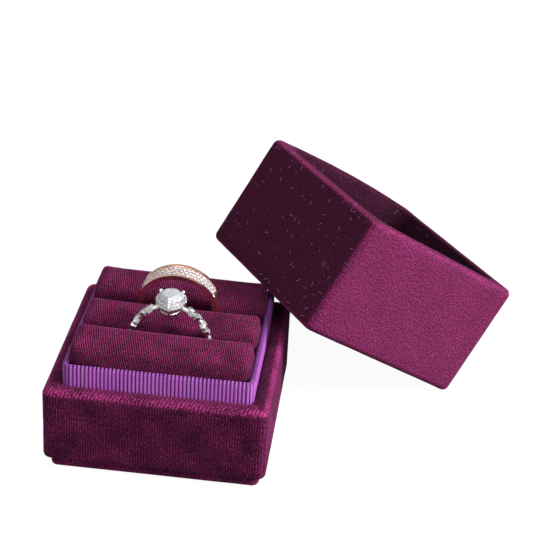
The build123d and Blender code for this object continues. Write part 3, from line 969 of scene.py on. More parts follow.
pad_levels = cushion_levels(lid_half - lining_gap, lid_floor, lid_pad_height, lid_pad_edge, lid_pad_sag)
lid_cushion = rising_skin("lid_cushion_velvet", pad_levels)
close_ring(lid_cushion, pad_levels[0][2])
close_ring(lid_cushion, pad_levels[-1][2])
weave_map(lid_cushion)
place(lid_cushion, lid_place)
dress_in_velvet(lid_cushion, lining_velvet, "lid", "lid_lining_top", "lid_foam_pad")

# %% [markdown]
# ## The ribbed ribbon
#
# A violet grosgrain ribbon is folded over the raised card collar. Its ribs are thick weft threads, just
# under a millimetre apart, that run up the face, over the top edge and down inside. One rib is drawn as a
# bent line with an oval section, turned into a mesh, and copied side by side along each face and round each
# corner.

# %% One rib
collar_half = (collar_high.x - collar_low.x) / 2
collar_corner = 1.9 * mm
collar_card = 0.7 * mm
ribbon_thickness = 0.35 * mm
ribbon_turn_in = 4 * mm
ribs_per_face = 45
rib_pitch = (collar_half - collar_corner) * 2 / ribs_per_face
rib_width = rib_pitch * 0.96
rib_height = ribbon_thickness * 1.15
rib_points = 12
rib_hidden = 2 * mm
rib_fold = 60
groove_sharpness = 1.7
rib_top_shade = 0.4
shade_start, shade_full = collar_high.z - 0.6 * mm, collar_high.z - 0.3 * mm


def rib_path():
    """Points (outwards, up) from the collar's foot over its top edge, measured from the outer face."""
    middle = ribbon_thickness / 2
    bend = (collar_card + ribbon_thickness) / 2
    top = collar_high.z - middle - bend
    over = [(-middle - bend + x, top + z) for x, z in arc(0, 180, 8, bend)]
    return [(-middle, collar_low.z), (-middle, wrap_high.z - rib_hidden), (-middle, top)] + over + [
        (-middle - 2 * bend, collar_high.z - ribbon_turn_in)]


def drawn_line(name, points, closed=False):
    """A line of straight pieces through the points, as a curve object. A closed one lies flat."""
    curve = bpy.data.curves.new(name, "CURVE")
    curve.dimensions = "2D" if closed else "3D"
    spline = curve.splines.new("POLY")
    spline.points.add(len(points) - 1)
    for point, spot in zip(spline.points, points):
        point.co = (*spot, 1)
    spline.use_cyclic_u = closed
    line = bpy.data.objects.new(name, curve)
    bpy.context.scene.collection.objects.link(line)
    return line


def oval(width, height, points):
    """Points on a flat oval."""
    turns = [2 * math.pi * i / points for i in range(points)]
    return [(width / 2 * math.cos(a), height / 2 * math.sin(a), 0) for a in turns]


def one_rib():
    """A rib on the front face, at x = 0, with the outer face at y = 0."""
    section = drawn_line("rib_section", oval(rib_width, rib_height, rib_points), closed=True)
    rib = drawn_line("rib", [(0, -out, up) for out, up in rib_path()])
    rib.data.bevel_mode = "OBJECT"
    rib.data.bevel_object = section
    rib.data.use_fill_caps = True
    pick(rib)
    bpy.ops.object.convert(target="MESH")
    bpy.data.objects.remove(section)
    rib.data.name = "rib"
    close_up(rib)
    # The groove attribute is painted shade: darker towards the rib's sides and on its top.
    groove = rib.data.attributes.new("groove", "FLOAT", "POINT")
    for vertex in rib.data.vertices:
        side = min(1.0, abs(vertex.co.x) / (rib_width / 2)) ** groove_sharpness
        top = rib_top_shade * ramp(vertex.co.z, shade_start, shade_full)
        groove.data[vertex.index].value = min(1.0, side + top)
    return rib


rib = one_rib()
print("one rib:", len(rib.data.polygons), "faces,", round(rib_pitch / mm, 2), "mm wide")

# %% Ribs all round
straight = collar_half - collar_corner
ribs_per_corner = 3
# Painted shade on each side of the collar (front, right, back, left) and round the corners.
side_shade = [0.0, 0.35, 0.2, 0.0]
corner_shade = 0.25


def copy_of(piece, matrix):
    """A copy with its own mesh, moved by a matrix."""
    twin = piece.copy()
    twin.data = piece.data.copy()
    bpy.context.scene.collection.objects.link(twin)
    twin.data.transform(matrix)
    return twin


def shaded_rib(matrix, darkness):
    """A copy of the rib in its place, all of it a little darker by painted shade."""
    twin = copy_of(rib, matrix)
    for item in twin.data.attributes["groove"].data:
        item.value = item.value * (1 - darkness) + darkness
    return twin


def ribs_of_side(side):
    """The ribs along one face of the collar and round the corner after it."""
    turned = Matrix.Rotation(side * math.pi / 2, 4, "Z")
    for i in range(ribs_per_face):
        spot = Matrix.Translation((-straight + (i + 0.5) * rib_pitch, -collar_half, 0))
        yield shaded_rib(turned @ spot, side_shade[side])
    for i in range(ribs_per_corner):
        angle = (i + 0.5) / ribs_per_corner * math.pi / 2
        about = Matrix.Translation((straight, -straight, 0)) @ Matrix.Rotation(angle, 4, "Z")
        yield shaded_rib(turned @ about @ Matrix.Translation((0, -collar_corner, 0)), corner_shade)


def join(name, pieces):
    """Makes one piece of several and names it."""
    pick_none()
    for piece in pieces:
        piece.select_set(True)
    bpy.context.view_layer.objects.active = pieces[0]
    bpy.ops.object.join()
    return named(pieces[0], name)


ribs = [twin for side in range(4) for twin in ribs_of_side(side)]
bpy.data.objects.remove(rib)
ribbon = join("collar_ribbon_ribs", ribs)
done(ribbon, rib_fold)
print("ribs:", len(ribs))

# %% [markdown]
# Between two ribs the real ribbon has a thin ground of warp threads, so no card shows through. A rib as
# wide as its pitch would hide the gaps that make the ribbon look ribbed, so the ribs stay narrower and a
# plain skin lies behind them, coloured with the painted shade of the gaps. It is drawn as rings again, as
# the velvet covers are.

# %% The ground behind the ribs
ground_depth = ribbon_thickness * 0.6
ground_bevel = 0.3 * mm
ground_inset = 0.2 * mm
ground_thickness = 0.04 * mm


def ribbon_ground():
    """The ribbon's plain back, from the collar's foot over the card's edge to the inside."""
    half, corner = collar_half - ground_depth, collar_corner - ground_depth
    inner = collar_half - 2 * ribbon_thickness - collar_card + ground_depth
    top = collar_high.z - ground_depth
    outside = [(half, corner, collar_low.z), (half, corner, top - ground_bevel)]
    edge = [(half - ground_inset, corner, top), (inner + ground_inset, corner, top)]
    inside = [(inner, corner, top - ground_bevel), (inner, corner, collar_high.z - ribbon_turn_in)]
    ground = rising_skin("collar_ribbon_ground", outside + edge + inside)
    thicken(ground, ground_thickness)
    groove = ground.data.attributes.new("groove", "FLOAT", "POINT")
    # The whole ground takes the full painted shade of the gaps.
    for item in groove.data:
        item.value = 1.0
    return ground


ribbon_back = ribbon_ground()
print("the ground lies", round(ground_depth / mm, 2), "mm behind the ribs' crests")

# %% [markdown]
# The thread is satin, and its colour is broken into small steps where the fine warp threads cross it. The
# soft highlight along each rib and the dark gaps between ribs are painted: the attribute `groove` says how
# deep in a gap a point lies, with painted shade added on the ribs' tops and on some sides of the collar, so
# the painted dark lines sit exactly on the modelled ribs.

# %% Ribbon finish
warp_pitch = 0.48
warp_shake = 0.3
shake_scale, slow_scale = 900.0, 160.0
warp_depth = 0.06 * mm
ribbon_dark, ribbon_light = colour(186, 76, 218), colour(252, 150, 255)
painted_gap_shade = colour(44, 8, 58)


def ribbon_material():
    material, tree, shader = new_material("ribbed_ribbon")
    here = add_node(tree, "TexCoord").outputs["Object"]
    height = maths(tree, "DIVIDE", add_node(tree, "SeparateXYZ", Vector=here).outputs["Z"], mm)
    shake = maths(tree, "MULTIPLY", noise(tree, here, scale=shake_scale, detail=1.0), warp_shake)
    step = waves(tree, maths(tree, "ADD", height, shake), warp_pitch)
    slow = noise(tree, here, scale=slow_scale, detail=2.0)
    tone = maths(tree, "MULTIPLY_ADD", slow, 0.5, maths(tree, "MULTIPLY", step, 0.6))
    groove = add_node(tree, "Attribute", attribute_name="groove").outputs["Fac"]
    fill_in(tree, shader, {
        "Base Color": blend(tree, groove, blend(tree, tone, ribbon_dark, ribbon_light), painted_gap_shade),
        "Roughness": 0.5,
        "Specular IOR Level": 0.15,
        "Sheen Weight": 0.05,
        "Sheen Tint": colour(222, 160, 240),
        "Normal": relief(tree, step, strength=0.6, depth=warp_depth),
    })
    return material


ribbon_finish = ribbon_material()
for piece in (ribbon, ribbon_back):
    dress(piece, ribbon_finish, "ribbed_ribbon", "base", "collar_ribbon")

# %% [markdown]
# ## The ring rolls
#
# Three long cushions of foam under velvet fill the collar, and the rings stand in the two slits between
# them. Each starts as a block that is a bit too small, and cloth simulation with air pressure inside rounds
# it, as foam does under a tight cover. The solver is made for things about a metre long, so the block is
# blown up twenty times for it and shrunk again afterwards. Its foot is pinned where the cover is glued to
# the card.

# %% A roll before it is puffed up
roll_edge = 3.2 * mm
roll_end = 1.0 * mm
roll_crown = 0.35 * mm
roll_rise = 0.75 * mm
roll_overhang = 0.35 * mm
roll_skin = 0.25 * mm


def roll_block(name, low, high):
    """A long block with two wide round upper edges and smaller ones round its ends."""
    inset = Vector((roll_skin, roll_skin, 0))
    piece = add_block(name, low + inset, high - inset - Vector((0, 0, roll_crown)))
    edit(piece)
    above_foot = low.z + 0.1 * mm
    pick_folds(piece, lambda c, d: c.z > (low.z + high.z) / 2 and c.x < low.x + 1 * mm)
    bpy.ops.transform.translate(value=(-roll_overhang, 0, roll_rise))
    pick_folds(piece, lambda c, d: c.z > above_foot and abs(d.x) > nearly_along)
    bpy.ops.mesh.bevel(offset=roll_edge, segments=6, affect="EDGES")
    pick_folds(piece, lambda c, d: c.z > above_foot)
    bpy.ops.mesh.bevel(offset=roll_end, segments=4, affect="EDGES")
    return done(piece)


# %% Puffing it up
solver_scale = 20.0
voxel = 0.62 * mm
glued_height = 1.5 * mm
puff_frames = 18
puff_pressure = 0.7
roll_cap = 0.5 * mm


def puff(piece):
    """Rounds a closed block by cloth under pressure. No point moves further than roll_cap."""
    place(piece, Matrix.Scale(solver_scale, 4))
    add_modifier(piece, "REMESH", mode="VOXEL", voxel_size=voxel * solver_scale)
    before = [v.co.copy() for v in piece.data.vertices]
    foot = min(c.z for c in before) + glued_height * solver_scale
    glued = piece.vertex_groups.new(name="glued_foot")
    glued.add([i for i, c in enumerate(before) if c.z < foot], 1.0, "ADD")
    pick(piece)
    cloth_modifier = piece.modifiers.new("Cloth", "CLOTH")
    settings = cloth_modifier.settings
    settings.use_pressure = True
    settings.uniform_pressure_force = puff_pressure
    settings.vertex_group_mass = glued.name
    settings.effector_weights.gravity = 0.0
    cloth_modifier.point_cache.frame_end = puff_frames
    for frame_number in range(1, puff_frames + 1):
        bpy.context.scene.frame_set(frame_number)
    bpy.ops.object.modifier_apply(modifier=cloth_modifier.name)
    bpy.context.scene.frame_set(1)
    furthest = 0.0
    cap = roll_cap * solver_scale
    for vertex, start in zip(piece.data.vertices, before):
        step = vertex.co - start
        furthest = max(furthest, step.length)
        if step.length > cap:
            vertex.co = start + step * (cap / step.length)
    piece.vertex_groups.clear()
    place(piece, Matrix.Scale(1 / solver_scale, 4))
    print(piece.name, "wanted to move by up to", round(furthest / solver_scale / mm, 2), "mm")


# %% [markdown]
# The cloth on the rolls is laid the other way: its rows run over each roll from front to back, a little
# aslant, and closer together than on the box. Down in the slits painted shade darkens the cloth, and the
# two rear rolls get a painted shadow towards the right end, where the lid hangs over them.

# %% Three rolls
roll_row_pitch = 0.56
roll_slant = 0.22
slit_shade = 0.75
roll_lid_shadow = {"front": 0.0, "middle": 0.2, "back": 0.6}


def roll_weave(piece):
    """Rows run from front to back over a roll, and upright on its ends."""
    mesh = piece.data
    weave = mesh.uv_layers.new(name="weave")
    for face in mesh.polygons:
        on_end = abs(face.normal.x) > 0.8
        for loop in face.loop_indices:
            x, y, z = (value / mm for value in mesh.vertices[mesh.loops[loop].vertex_index].co)
            across, run = (y, z) if on_end else (x + roll_slant * (y + z), y + z)
            weave.data[loop].uv = (across * row_pitch / roll_row_pitch, run)


def roll_painted_shade(crest, lid_shadow):
    """Painted shade down in the slits, and a painted shadow of the lid at the right end."""
    def shading(spot, normal):
        low = slit_shade * ramp(crest - spot.z, 1.6 * mm, 6 * mm)
        return max(low, lid_shadow * ramp(spot.x, 4 * mm, 18 * mm))
    return shading


def size_of(piece):
    """A mesh's size along the three axes, in millimetres."""
    places = [v.co for v in piece.data.vertices]
    return [round((max(c[i] for c in places) - min(c[i] for c in places)) / mm, 1) for i in range(3)]


for part, lid_shadow in roll_lid_shadow.items():
    roll_low, roll_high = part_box(f"roll_velvet_{part}")
    roll = roll_block(f"ring_roll_{part}", roll_low, roll_high)
    puff(roll)
    add_modifier(roll, "SUBSURF", levels=1, render_levels=1)
    roll_weave(roll)
    lay_painted_light(roll, roll_painted_shade(max(v.co.z for v in roll.data.vertices), lid_shadow))
    dress_in_velvet(roll, roll_velvet, "base", f"roll_velvet_{part}", f"foam_core_{part}")
    room = [round((b - a) / mm, 1) for a, b in zip(roll_low, roll_high)]
    print("its size", size_of(roll), "in a room of", room, "mm")

# %% [markdown]
# ## Where the rings stand
#
# Both rings stand in the slits and lean a little. Everything on a ring is drawn in the ring's own axes: X
# across the finger hole, Y through it and Z up. One matrix then moves the finished piece to its slit, and
# it is the same matrix for the metal and for every stone.

# %% Ring axes


def ring_axes(x, slot_y, z, lean, turn):
    """The matrix from a ring's own axes to the box. The angles are in degrees."""
    lean, turn = math.radians(lean), math.radians(turn)
    across = Vector((math.cos(turn), math.sin(turn), 0))
    up = Vector((-math.sin(turn) * math.sin(lean), math.cos(turn) * math.sin(lean), math.cos(lean)))
    axes = Matrix((across, up.cross(across), up)).transposed().to_4x4()
    return Matrix.Translation(Vector((x, slot_y, z)) * mm) @ axes


def on_rim(radius, angle, across=0.0, spin=0.0):
    """A place on a ring's outer face. Its Z points away from the finger and its Y through the hole."""
    turn = Matrix.Rotation(math.radians(angle), 4, "Y")
    return turn @ Matrix.Translation((0, across, radius)) @ Matrix.Rotation(math.radians(spin), 4, "Z")


band_axes = ring_axes(x=0.35, slot_y=6.4, z=31.1, lean=-8.5, turn=-0.8)
solitaire_axes = ring_axes(x=0.35, slot_y=-7.6, z=28.15, lean=4.6, turn=1.8)
print("band ring's centre:", [round(v / mm, 1) for v in band_axes.translation], "mm")

# %% [markdown]
# ## Metal and stone
#
# One ring is rose-coloured gold and the other is white metal. Polished metal shows its surroundings, so its
# look comes from what stands round it. A slow noise in its roughness and the finest bump keep it from
# looking like a perfect mirror. The stones are clear and bend light strongly, which makes their facets
# flash.

# %% Materials of the rings
wear_scale = 900.0
worn_shade = 0.86
wear_roughness = 0.12
wear_depth = 0.01 * mm
facet_flash_scale = 1400.0
stone_shade = 0.55
stone_bending = 2.2


def darker(tone, share):
    """A colour at a share of its brightness."""
    return tuple(v * share for v in tone[:3]) + (1.0,)


def polished(name, tone, roughness):
    """Polished metal with slight wear."""
    material, tree, shader = new_material(name)
    here = add_node(tree, "TexCoord").outputs["Object"]
    wear = noise(tree, here, scale=wear_scale, detail=3.0)
    fill_in(tree, shader, {
        "Metallic": 1.0,
        "Base Color": blend(tree, wear, tone, darker(tone, worn_shade)),
        "Roughness": maths(tree, "MULTIPLY_ADD", wear, wear_roughness, roughness),
        "Normal": relief(tree, wear, strength=0.25, depth=wear_depth),
    })
    return material


def clear_stone(name, tone, clearness):
    """A cut stone. Part of its look is a pale body colour with darker cells: painted reflections of the
    facets inside.
    """
    material, tree, shader = new_material(name)
    here = add_node(tree, "TexCoord").outputs["Object"]
    # Painted reflections: cells of a Voronoi pattern darken the pale body colour.
    cloud = add_node(tree, "TexVoronoi", Vector=here, Scale=facet_flash_scale).outputs["Distance"]
    fill_in(tree, shader, {
        "Base Color": blend(tree, cloud, tone, darker(tone, stone_shade)),
        "Roughness": 0.03,
        "IOR": stone_bending,
        "Transmission Weight": clearness,
    })
    return material


rose_gold = polished("rose_gold", colour(238, 198, 180), 0.16)
white_gold = polished("white_gold", colour(216, 216, 214), 0.22)
pear_stone_glass = clear_stone("pear_stone_glass", colour(238, 240, 250), 0.3)
small_stone_glass = clear_stone("small_stone_glass", colour(240, 238, 242), 0.35)
print("metals and stones:", [m.name for m in (rose_gold, white_gold, pear_stone_glass, small_stone_glass)])

# %% [markdown]
# ## Cutting stones
#
# A stone cutter starts from a blank that has only the outline and grinds one flat facet after another. We
# do the same: a plane bisects an upright block for each facet, what lies beyond is cleared, and the cut is
# filled. A round stone and a pear-shaped one get the same facets: large ones, pairs of narrow ones along
# the girdle, and a star round the flat table on top.

# %% Outlines


def circle(radius, sides):
    turns = [2 * math.pi * i / sides for i in range(sides)]
    return [Vector((radius * math.cos(a), radius * math.sin(a), 0)) for a in turns]


def square(width):
    """A square that starts in the middle of a side."""
    half = width / 2
    places = [(half, 0), (half, half), (-half, half), (-half, -half), (half, -half)]
    return [Vector((x, y, 0)) for x, y in places]


def pear(width, length, steps=12):
    """An outline with its point at -Y and its round end at +Y, anticlockwise from the point."""
    cap_radius = width / 2
    depth = length - cap_radius
    side_radius = (cap_radius ** 2 + depth ** 2) / (2 * cap_radius)
    sweep = math.asin(depth / side_radius)
    middle = length / 2 - cap_radius
    turns = [sweep * (1 - i / steps) for i in range(steps)]
    side_middle = cap_radius - side_radius
    right = [Vector((side_middle + side_radius * math.cos(a), middle - side_radius * math.sin(a), 0))
             for a in turns]
    cap = [p + Vector((0, middle, 0)) for p in circle(cap_radius, 2 * steps)[:steps + 1]]
    left = [Vector((-p.x, p.y, 0)) for p in reversed(right[1:])]
    return right + cap + left


def along(outline, share):
    """The place a share of the way along a closed outline."""
    steps = list(zip(outline, outline[1:] + outline[:1]))
    left = share % 1.0 * sum((b - a).length for a, b in steps)
    for a, b in steps:
        if left <= (b - a).length:
            return a.lerp(b, left / (b - a).length)
        left -= (b - a).length
    return outline[0].copy()


def outward(outline, share, step=0.01):
    """The level direction that points out of an outline."""
    run = along(outline, share + step) - along(outline, share - step)
    return Vector((run.y, -run.x, 0)).normalized()


def outline_mesh(name, outline, filled):
    """An outline as one face, or as an open ring of edges. It is left open for editing, with all picked."""
    pick_none()
    mesh = bpy.data.meshes.new(name)
    loop = list(range(len(outline)))
    edges = [] if filled else list(zip(loop, loop[1:] + loop[:1]))
    mesh.from_pydata(outline, edges, [loop] if filled else [])
    piece = bpy.data.objects.new(name, mesh)
    bpy.context.scene.collection.objects.link(piece)
    edit(piece, "VERT")
    pick_all()
    return piece


# %% Facets
bench_scale = 1000.0
bench_point = bench_scale * same_point
main_facet, star_facet = 0, 2
crown_slopes = (1.0, 1.16, 0.6, 1.16)
girdle_depth = 1.12
flat_enough = math.radians(0.5)


def cut_facet(spot, normal, threshold=same_point):
    """Grinds away all that lies beyond a plane, and closes the cut."""
    pick_all()
    bpy.ops.mesh.bisect(plane_co=spot, plane_no=normal, use_fill=True, clear_outer=True,
                        threshold=threshold)


def cut_stone(name, outline, crown, pavilion, girdle, slope, mains=8):
    """A stone with its girdle at height 0. The crown rises at the slope, in degrees.

    It is cut a thousand times larger, because the tools join points that lie very close together.
    """
    outline = [p * bench_scale for p in outline]
    crown, pavilion, girdle = (size * bench_scale for size in (crown, pavilion, girdle))
    stone = outline_mesh(name, outline, filled=True)
    bpy.ops.transform.translate(value=(0, 0, -pavilion))
    bpy.ops.mesh.extrude_region_move(TRANSFORM_OT_translate={"value": (0, 0, pavilion + crown)})
    slope = math.radians(slope)
    table_inset = (crown - girdle) / math.tan(slope)
    above = Vector((0, 0, 1))
    for i in range(4 * mains):
        out = outward(outline, i / (4 * mains))
        edge = along(outline, i / (4 * mains))
        kind = i % 4
        steep = slope * crown_slopes[kind]
        start = edge - out * table_inset + above * crown if kind == star_facet else edge + above * girdle
        cut_facet(start, out * math.sin(steep) + above * math.cos(steep), bench_point)
        if kind != star_facet:
            depth = pavilion * (1.0 if kind == main_facet else girdle_depth)
            level = Vector((-out.y, out.x, 0))
            cut_facet(edge - above * girdle, level.cross(edge + above * (depth - girdle)), bench_point)
    pick_all()
    bpy.ops.mesh.dissolve_limited(angle_limit=flat_enough)
    face_outwards()
    bpy.ops.object.mode_set(mode="OBJECT")
    place(stone, Matrix.Scale(1 / bench_scale, 4))
    return done(stone)


# %% [markdown]
# ## The band ring
#
# The band's metal comes finished from the construction model: its groove has a seat under every stone. What
# it lacks is the setting's sparkle. Three staggered rows of round stones lie in the groove, held by tiny
# beads of metal that the setter raises in the gaps between them.

# %% Stones of the band
band_radius = 10.1 * mm
band_girdle_radius = 9.9 * mm
band_stone_radius = 0.52 * mm
band_stone_pitch = 1.16 * mm
band_row_pitch = 1.08 * mm
band_stones_angle = 70.0
band_step = math.degrees(band_stone_pitch / band_radius)
band_count = int(band_stones_angle / band_step)
round_sides = 12


def band_stone_places():
    """The two outer rows are in step, and the middle one is half a step off."""
    for row in (-1, 0, 1):
        shift = 0.0 if row else 0.5
        last = band_count if row else band_count - 1
        for k in range(-band_count, last + 1):
            yield on_rim(band_girdle_radius, (k + shift) * band_step, row * band_row_pitch)


def spread(name, model, places, axes):
    """Copies a model to each place, joins the copies and moves them with a ring's matrix."""
    group = join(name, [copy_of(model, spot) for spot in places])
    bpy.data.objects.remove(model)
    place(group, axes)
    return done(group)


small_cut = dict(crown=0.17 * mm, pavilion=0.4 * mm, girdle=0.015 * mm, slope=36, mains=6)
band_model = cut_stone("band_stone", circle(band_stone_radius, round_sides), **small_cut)
print("one small stone:", len(band_model.data.polygons), "facets")
band_stones = spread("band_pave_stones", band_model, band_stone_places(), band_axes)
dress(band_stones, small_stone_glass, "clear_stone", "band_ring", "band_ring_stones")

# %% Beads of the band
bead_radius = 0.14 * mm
bead_rise = 0.3
dome_fold = 50
bead_gaps = ((1 / 3, 0.0), (2 / 3, 0.5), (1.42, 0.5))


def bead(name, radius):
    """A dome of metal on a short neck."""
    pick_none()
    bpy.ops.mesh.primitive_uv_sphere_add(segments=8, ring_count=6, radius=radius, location=(0, 0, 0))
    piece = bpy.context.object
    piece.name = name
    edit(piece)
    cut_facet((0, 0, 0), (0, 0, -1))
    drop_picks()
    pick_faces(piece, lambda c, n: n.z < -nearly_along)
    bpy.ops.mesh.extrude_region_move(TRANSFORM_OT_translate={"value": (0, 0, -radius)})
    return done(piece, dome_fold)


def band_bead_places():
    """Beads lie in the middle of each triangle of three stones, and along the groove's two walls."""
    radius = band_girdle_radius + bead_radius * bead_rise
    for side in (-1, 1):
        for across, shift in bead_gaps:
            for k in range(-band_count, band_count):
                yield on_rim(radius, (k + shift) * band_step, side * across * band_row_pitch)


band_beads = spread("band_pave_beads", bead("bead", bead_radius), band_bead_places(), band_axes)
dress(band_beads, rose_gold, "rose_gold", "band_ring")

# %% [markdown]
# The band itself is metal all through. The construction model has every seat cut in it already, so it needs
# no new shape, and only its finish is changed.

# %% The band's own metal


def repaint(node, material):
    """Puts a finish on a node of the construction model."""
    for material_slot in node.material_slots:
        material_slot.material = material


repaint(nodes["band_ring_shank"], rose_gold)
print("band metal:", len(nodes["band_ring_shank"].data.polygons), "faces")

# %% [markdown]
# ## The solitaire's shank
#
# This shank is a chain of small plates, each turned a little against the next, with a square stone let into
# its face. One plate is drawn: a block with bevelled edges, whose top face is inset and pushed in to make
# the seat. A narrow hoop, spun round the finger hole, runs through all of them.

# %% One plate
solitaire_radius = 10.3 * mm
solitaire_thickness = 1.5 * mm
plate_size = Vector((2.3, 1.75, 1.4)) * mm
plate_bevel = 0.1 * mm
plate_stone_width = 1.05 * mm
plate_seat_depth = 0.22 * mm
seat_margin = 0.02 * mm
seat_play = 1.06
metal_fold = 40


def one_plate():
    plate = add_block("plate", -plate_size / 2, plate_size / 2)
    edit(plate)
    pick_all()
    bpy.ops.mesh.bevel(offset=plate_bevel, segments=3, affect="EDGES")
    drop_picks()
    pick_faces(plate, lambda c, n: c.z > plate_size.z / 2 - 0.01 * mm)
    rim = (plate_size.y - plate_stone_width) / 2 - plate_bevel - seat_margin
    bpy.ops.mesh.inset(thickness=rim)
    seat_length = plate_size.x - 2 * plate_bevel - 2 * rim
    bpy.ops.transform.resize(value=(plate_stone_width / seat_length * seat_play, 1, 1))
    bpy.ops.mesh.extrude_region_move(TRANSFORM_OT_translate={"value": (0, 0, -plate_seat_depth)})
    return done(plate, metal_fold)


# %% Plates and their stones
plate_turns = 28
plate_skew = 30.0
plate_middle = solitaire_radius - solitaire_thickness / 2
head_gap = 25.0
stones_reach = 125.0


def plate_places(radius, reach=360.0):
    """Places round the ring, turned one way and the other in turn, without the gap for the head."""
    for i in range(plate_turns):
        angle = (i + 0.5) * 360 / plate_turns
        if head_gap < angle < 360 - head_gap and min(angle, 360 - angle) < reach:
            yield on_rim(radius, angle, 0, plate_skew if i % 2 else -plate_skew)


plates = spread("solitaire_plates", one_plate(), plate_places(plate_middle), Matrix())
square_model = cut_stone("plate_stone", square(plate_stone_width), crown=0.2 * mm, pavilion=0.5 * mm,
                         girdle=0.02 * mm, slope=38, mains=4)
plate_stones = spread("solitaire_plate_stones", square_model,
                      plate_places(solitaire_radius - 0.1 * mm, stones_reach), solitaire_axes)
dress(plate_stones, small_stone_glass, "clear_stone", "solitaire_ring", "solitaire_shank_stones")

# %% The hoop through the plates
hoop_width = 1.4 * mm
hoop_height = 1.15 * mm
hoop_corner = 0.3 * mm
hoop_middle = solitaire_radius - solitaire_thickness + hoop_height / 2
hoop_gap = 13.0
hoop_steps = 84
shoulder_narrowing = 0.62
shoulder_reaches = (24.0, 18.0)


def hoop():
    """A round-cornered section, spun round the finger hole, with narrower ends towards the head."""
    pick_none()
    bpy.ops.mesh.primitive_plane_add(size=1, location=(0, 0, 0), rotation=(0, math.pi / 2, 0))
    bpy.ops.object.transform_apply(location=False, rotation=True, scale=False)
    piece = bpy.context.object
    piece.name = "hoop"
    place(piece, Matrix.Diagonal((1, hoop_width, hoop_height, 1)))
    edit(piece, "VERT")
    pick_all()
    bpy.ops.mesh.bevel(offset=hoop_corner, segments=3, affect="VERTICES")
    bpy.ops.object.mode_set(mode="OBJECT")
    place(piece, on_rim(hoop_middle, -hoop_gap))
    edit(piece)
    pick_all()
    sweep = math.radians(360 - 2 * hoop_gap)
    bpy.ops.mesh.spin(steps=hoop_steps, angle=sweep, center=(0, 0, 0), axis=(0, 1, 0))
    pick_all()
    bpy.ops.mesh.fill_holes(sides=0)
    for reach in shoulder_reaches:
        bpy.ops.mesh.select_mode(type="VERT")
        drop_picks()
        mesh = bmesh.from_edit_mesh(piece.data)
        for vertex in mesh.verts:
            angle = math.degrees(math.atan2(abs(vertex.co.x), vertex.co.z))
            vertex.select_set(angle < reach)
        bmesh.update_edit_mesh(piece.data)
        bpy.ops.transform.resize(value=(1, math.sqrt(shoulder_narrowing), 1), center_override=(0, 0, 0))
    bpy.ops.object.mode_set(mode="OBJECT")
    return done(close_up(piece), metal_fold)


shank = join("solitaire_shank_metal", [plates, hoop()])
place(shank, solitaire_axes)
dress(shank, white_gold, "white_metal", "solitaire_ring", "solitaire_shank")

# %% [markdown]
# ## The solitaire's head
#
# The large stone is a pear. A halo of small stones slopes out below it, and under that runs a bare rail
# that ties the claws together. Two thick claws hold the round end, and a folded one, like a V seen from
# above, guards the brittle point. Each of these rings follows the pear outline: it is drawn once as a ring
# of edges and extruded through its levels, scaled a little at each, until it meets its own start.

# %% Pear rings
stone_width = 6.5 * mm
stone_length = 7.9 * mm
cup_side = 0.58 * mm
cup_end = 0.8 * mm
cup_outline = pear(stone_width + 2 * cup_side, stone_length + 2 * cup_end)
cup_half_width = stone_width / 2 + cup_side
girdle_height = 11.7 * mm
head_axes = solitaire_axes @ Matrix.Translation((0, 0, girdle_height))


def pear_ring(name, outline, levels):
    """A closed ring of metal that goes through levels, each a scale of the outline and a height in mm."""
    piece = outline_mesh(name, outline, filled=False)
    scale, height = 1.0, 0.0
    for step, (new_scale, new_height) in enumerate(levels + levels[:1]):
        if step:
            bpy.ops.mesh.extrude_region_move()
        ratio = new_scale / scale
        bpy.ops.transform.resize(value=(ratio, ratio, 1), center_override=(0, 0, 0))
        bpy.ops.transform.translate(value=(0, 0, (new_height - height) * mm))
        scale, height = new_scale, new_height
    bpy.ops.object.mode_set(mode="OBJECT")
    return close_up(piece)


halo = pear_ring("halo", cup_outline, [
    (0.80, -0.5), (0.84, -0.2), (0.856, -0.02), (0.87, 0.02), (0.89, -0.03), (0.99, -1.36), (1.0, -1.5),
    (0.995, -1.7), (0.97, -1.98), (0.94, -2.1), (0.88, -2.05)])
rail_share = 0.665
rail_radius = 0.25
rail_height = -3.25
rail_sides = 8
rail_turns = [2 * math.pi * i / rail_sides for i in range(rail_sides)]
rail = pear_ring("rail", cup_outline, [
    (rail_share + rail_radius * mm / cup_half_width * math.cos(a), rail_height + rail_radius * math.sin(a))
    for a in rail_turns])
print("head: halo", len(halo.data.polygons), "and rail", len(rail.data.polygons), "faces")

# %% [markdown]
# Claws are round bars that a setter bends over the stone, so each is a cylinder with a domed tip between
# two places. Thinner posts of the same make stand between the rail and the halo.

# %% Claws
claw_sides = 14
claw_radius = 0.45 * mm
post_radius = 0.33 * mm
back_claw_angle = math.radians(29)
back_claw_top = 1.0 * mm
stone_end = stone_length / 2
point_claw_low = Vector((0, -stone_end - 0.55 * mm, -1.0 * mm))
point_claw_top = Vector((0, -stone_end + 0.25 * mm, 0.85 * mm))
point_claw_radius = claw_radius * 1.15
point_spot = Vector((0, -stone_end - cup_end, 0))


def claw(name, low, top, radius):
    """A round bar between two places, with a domed tip."""
    pick_none()
    length = (top - low).length
    bpy.ops.mesh.primitive_cylinder_add(vertices=claw_sides, radius=radius, depth=length,
                                        location=(0, 0, length / 2))
    bpy.ops.object.transform_apply(location=True, rotation=False, scale=False)
    piece = bpy.context.object
    piece.name = name
    edit(piece)
    pick_faces(piece, lambda c, n: n.z > nearly_along)
    bpy.ops.mesh.bevel(offset=radius * 0.7, segments=4, affect="EDGES")
    done(piece, dome_fold)
    turn = (top - low).to_track_quat("Z", "Y").to_matrix().to_4x4()
    return place(piece, Matrix.Translation(low) @ turn)


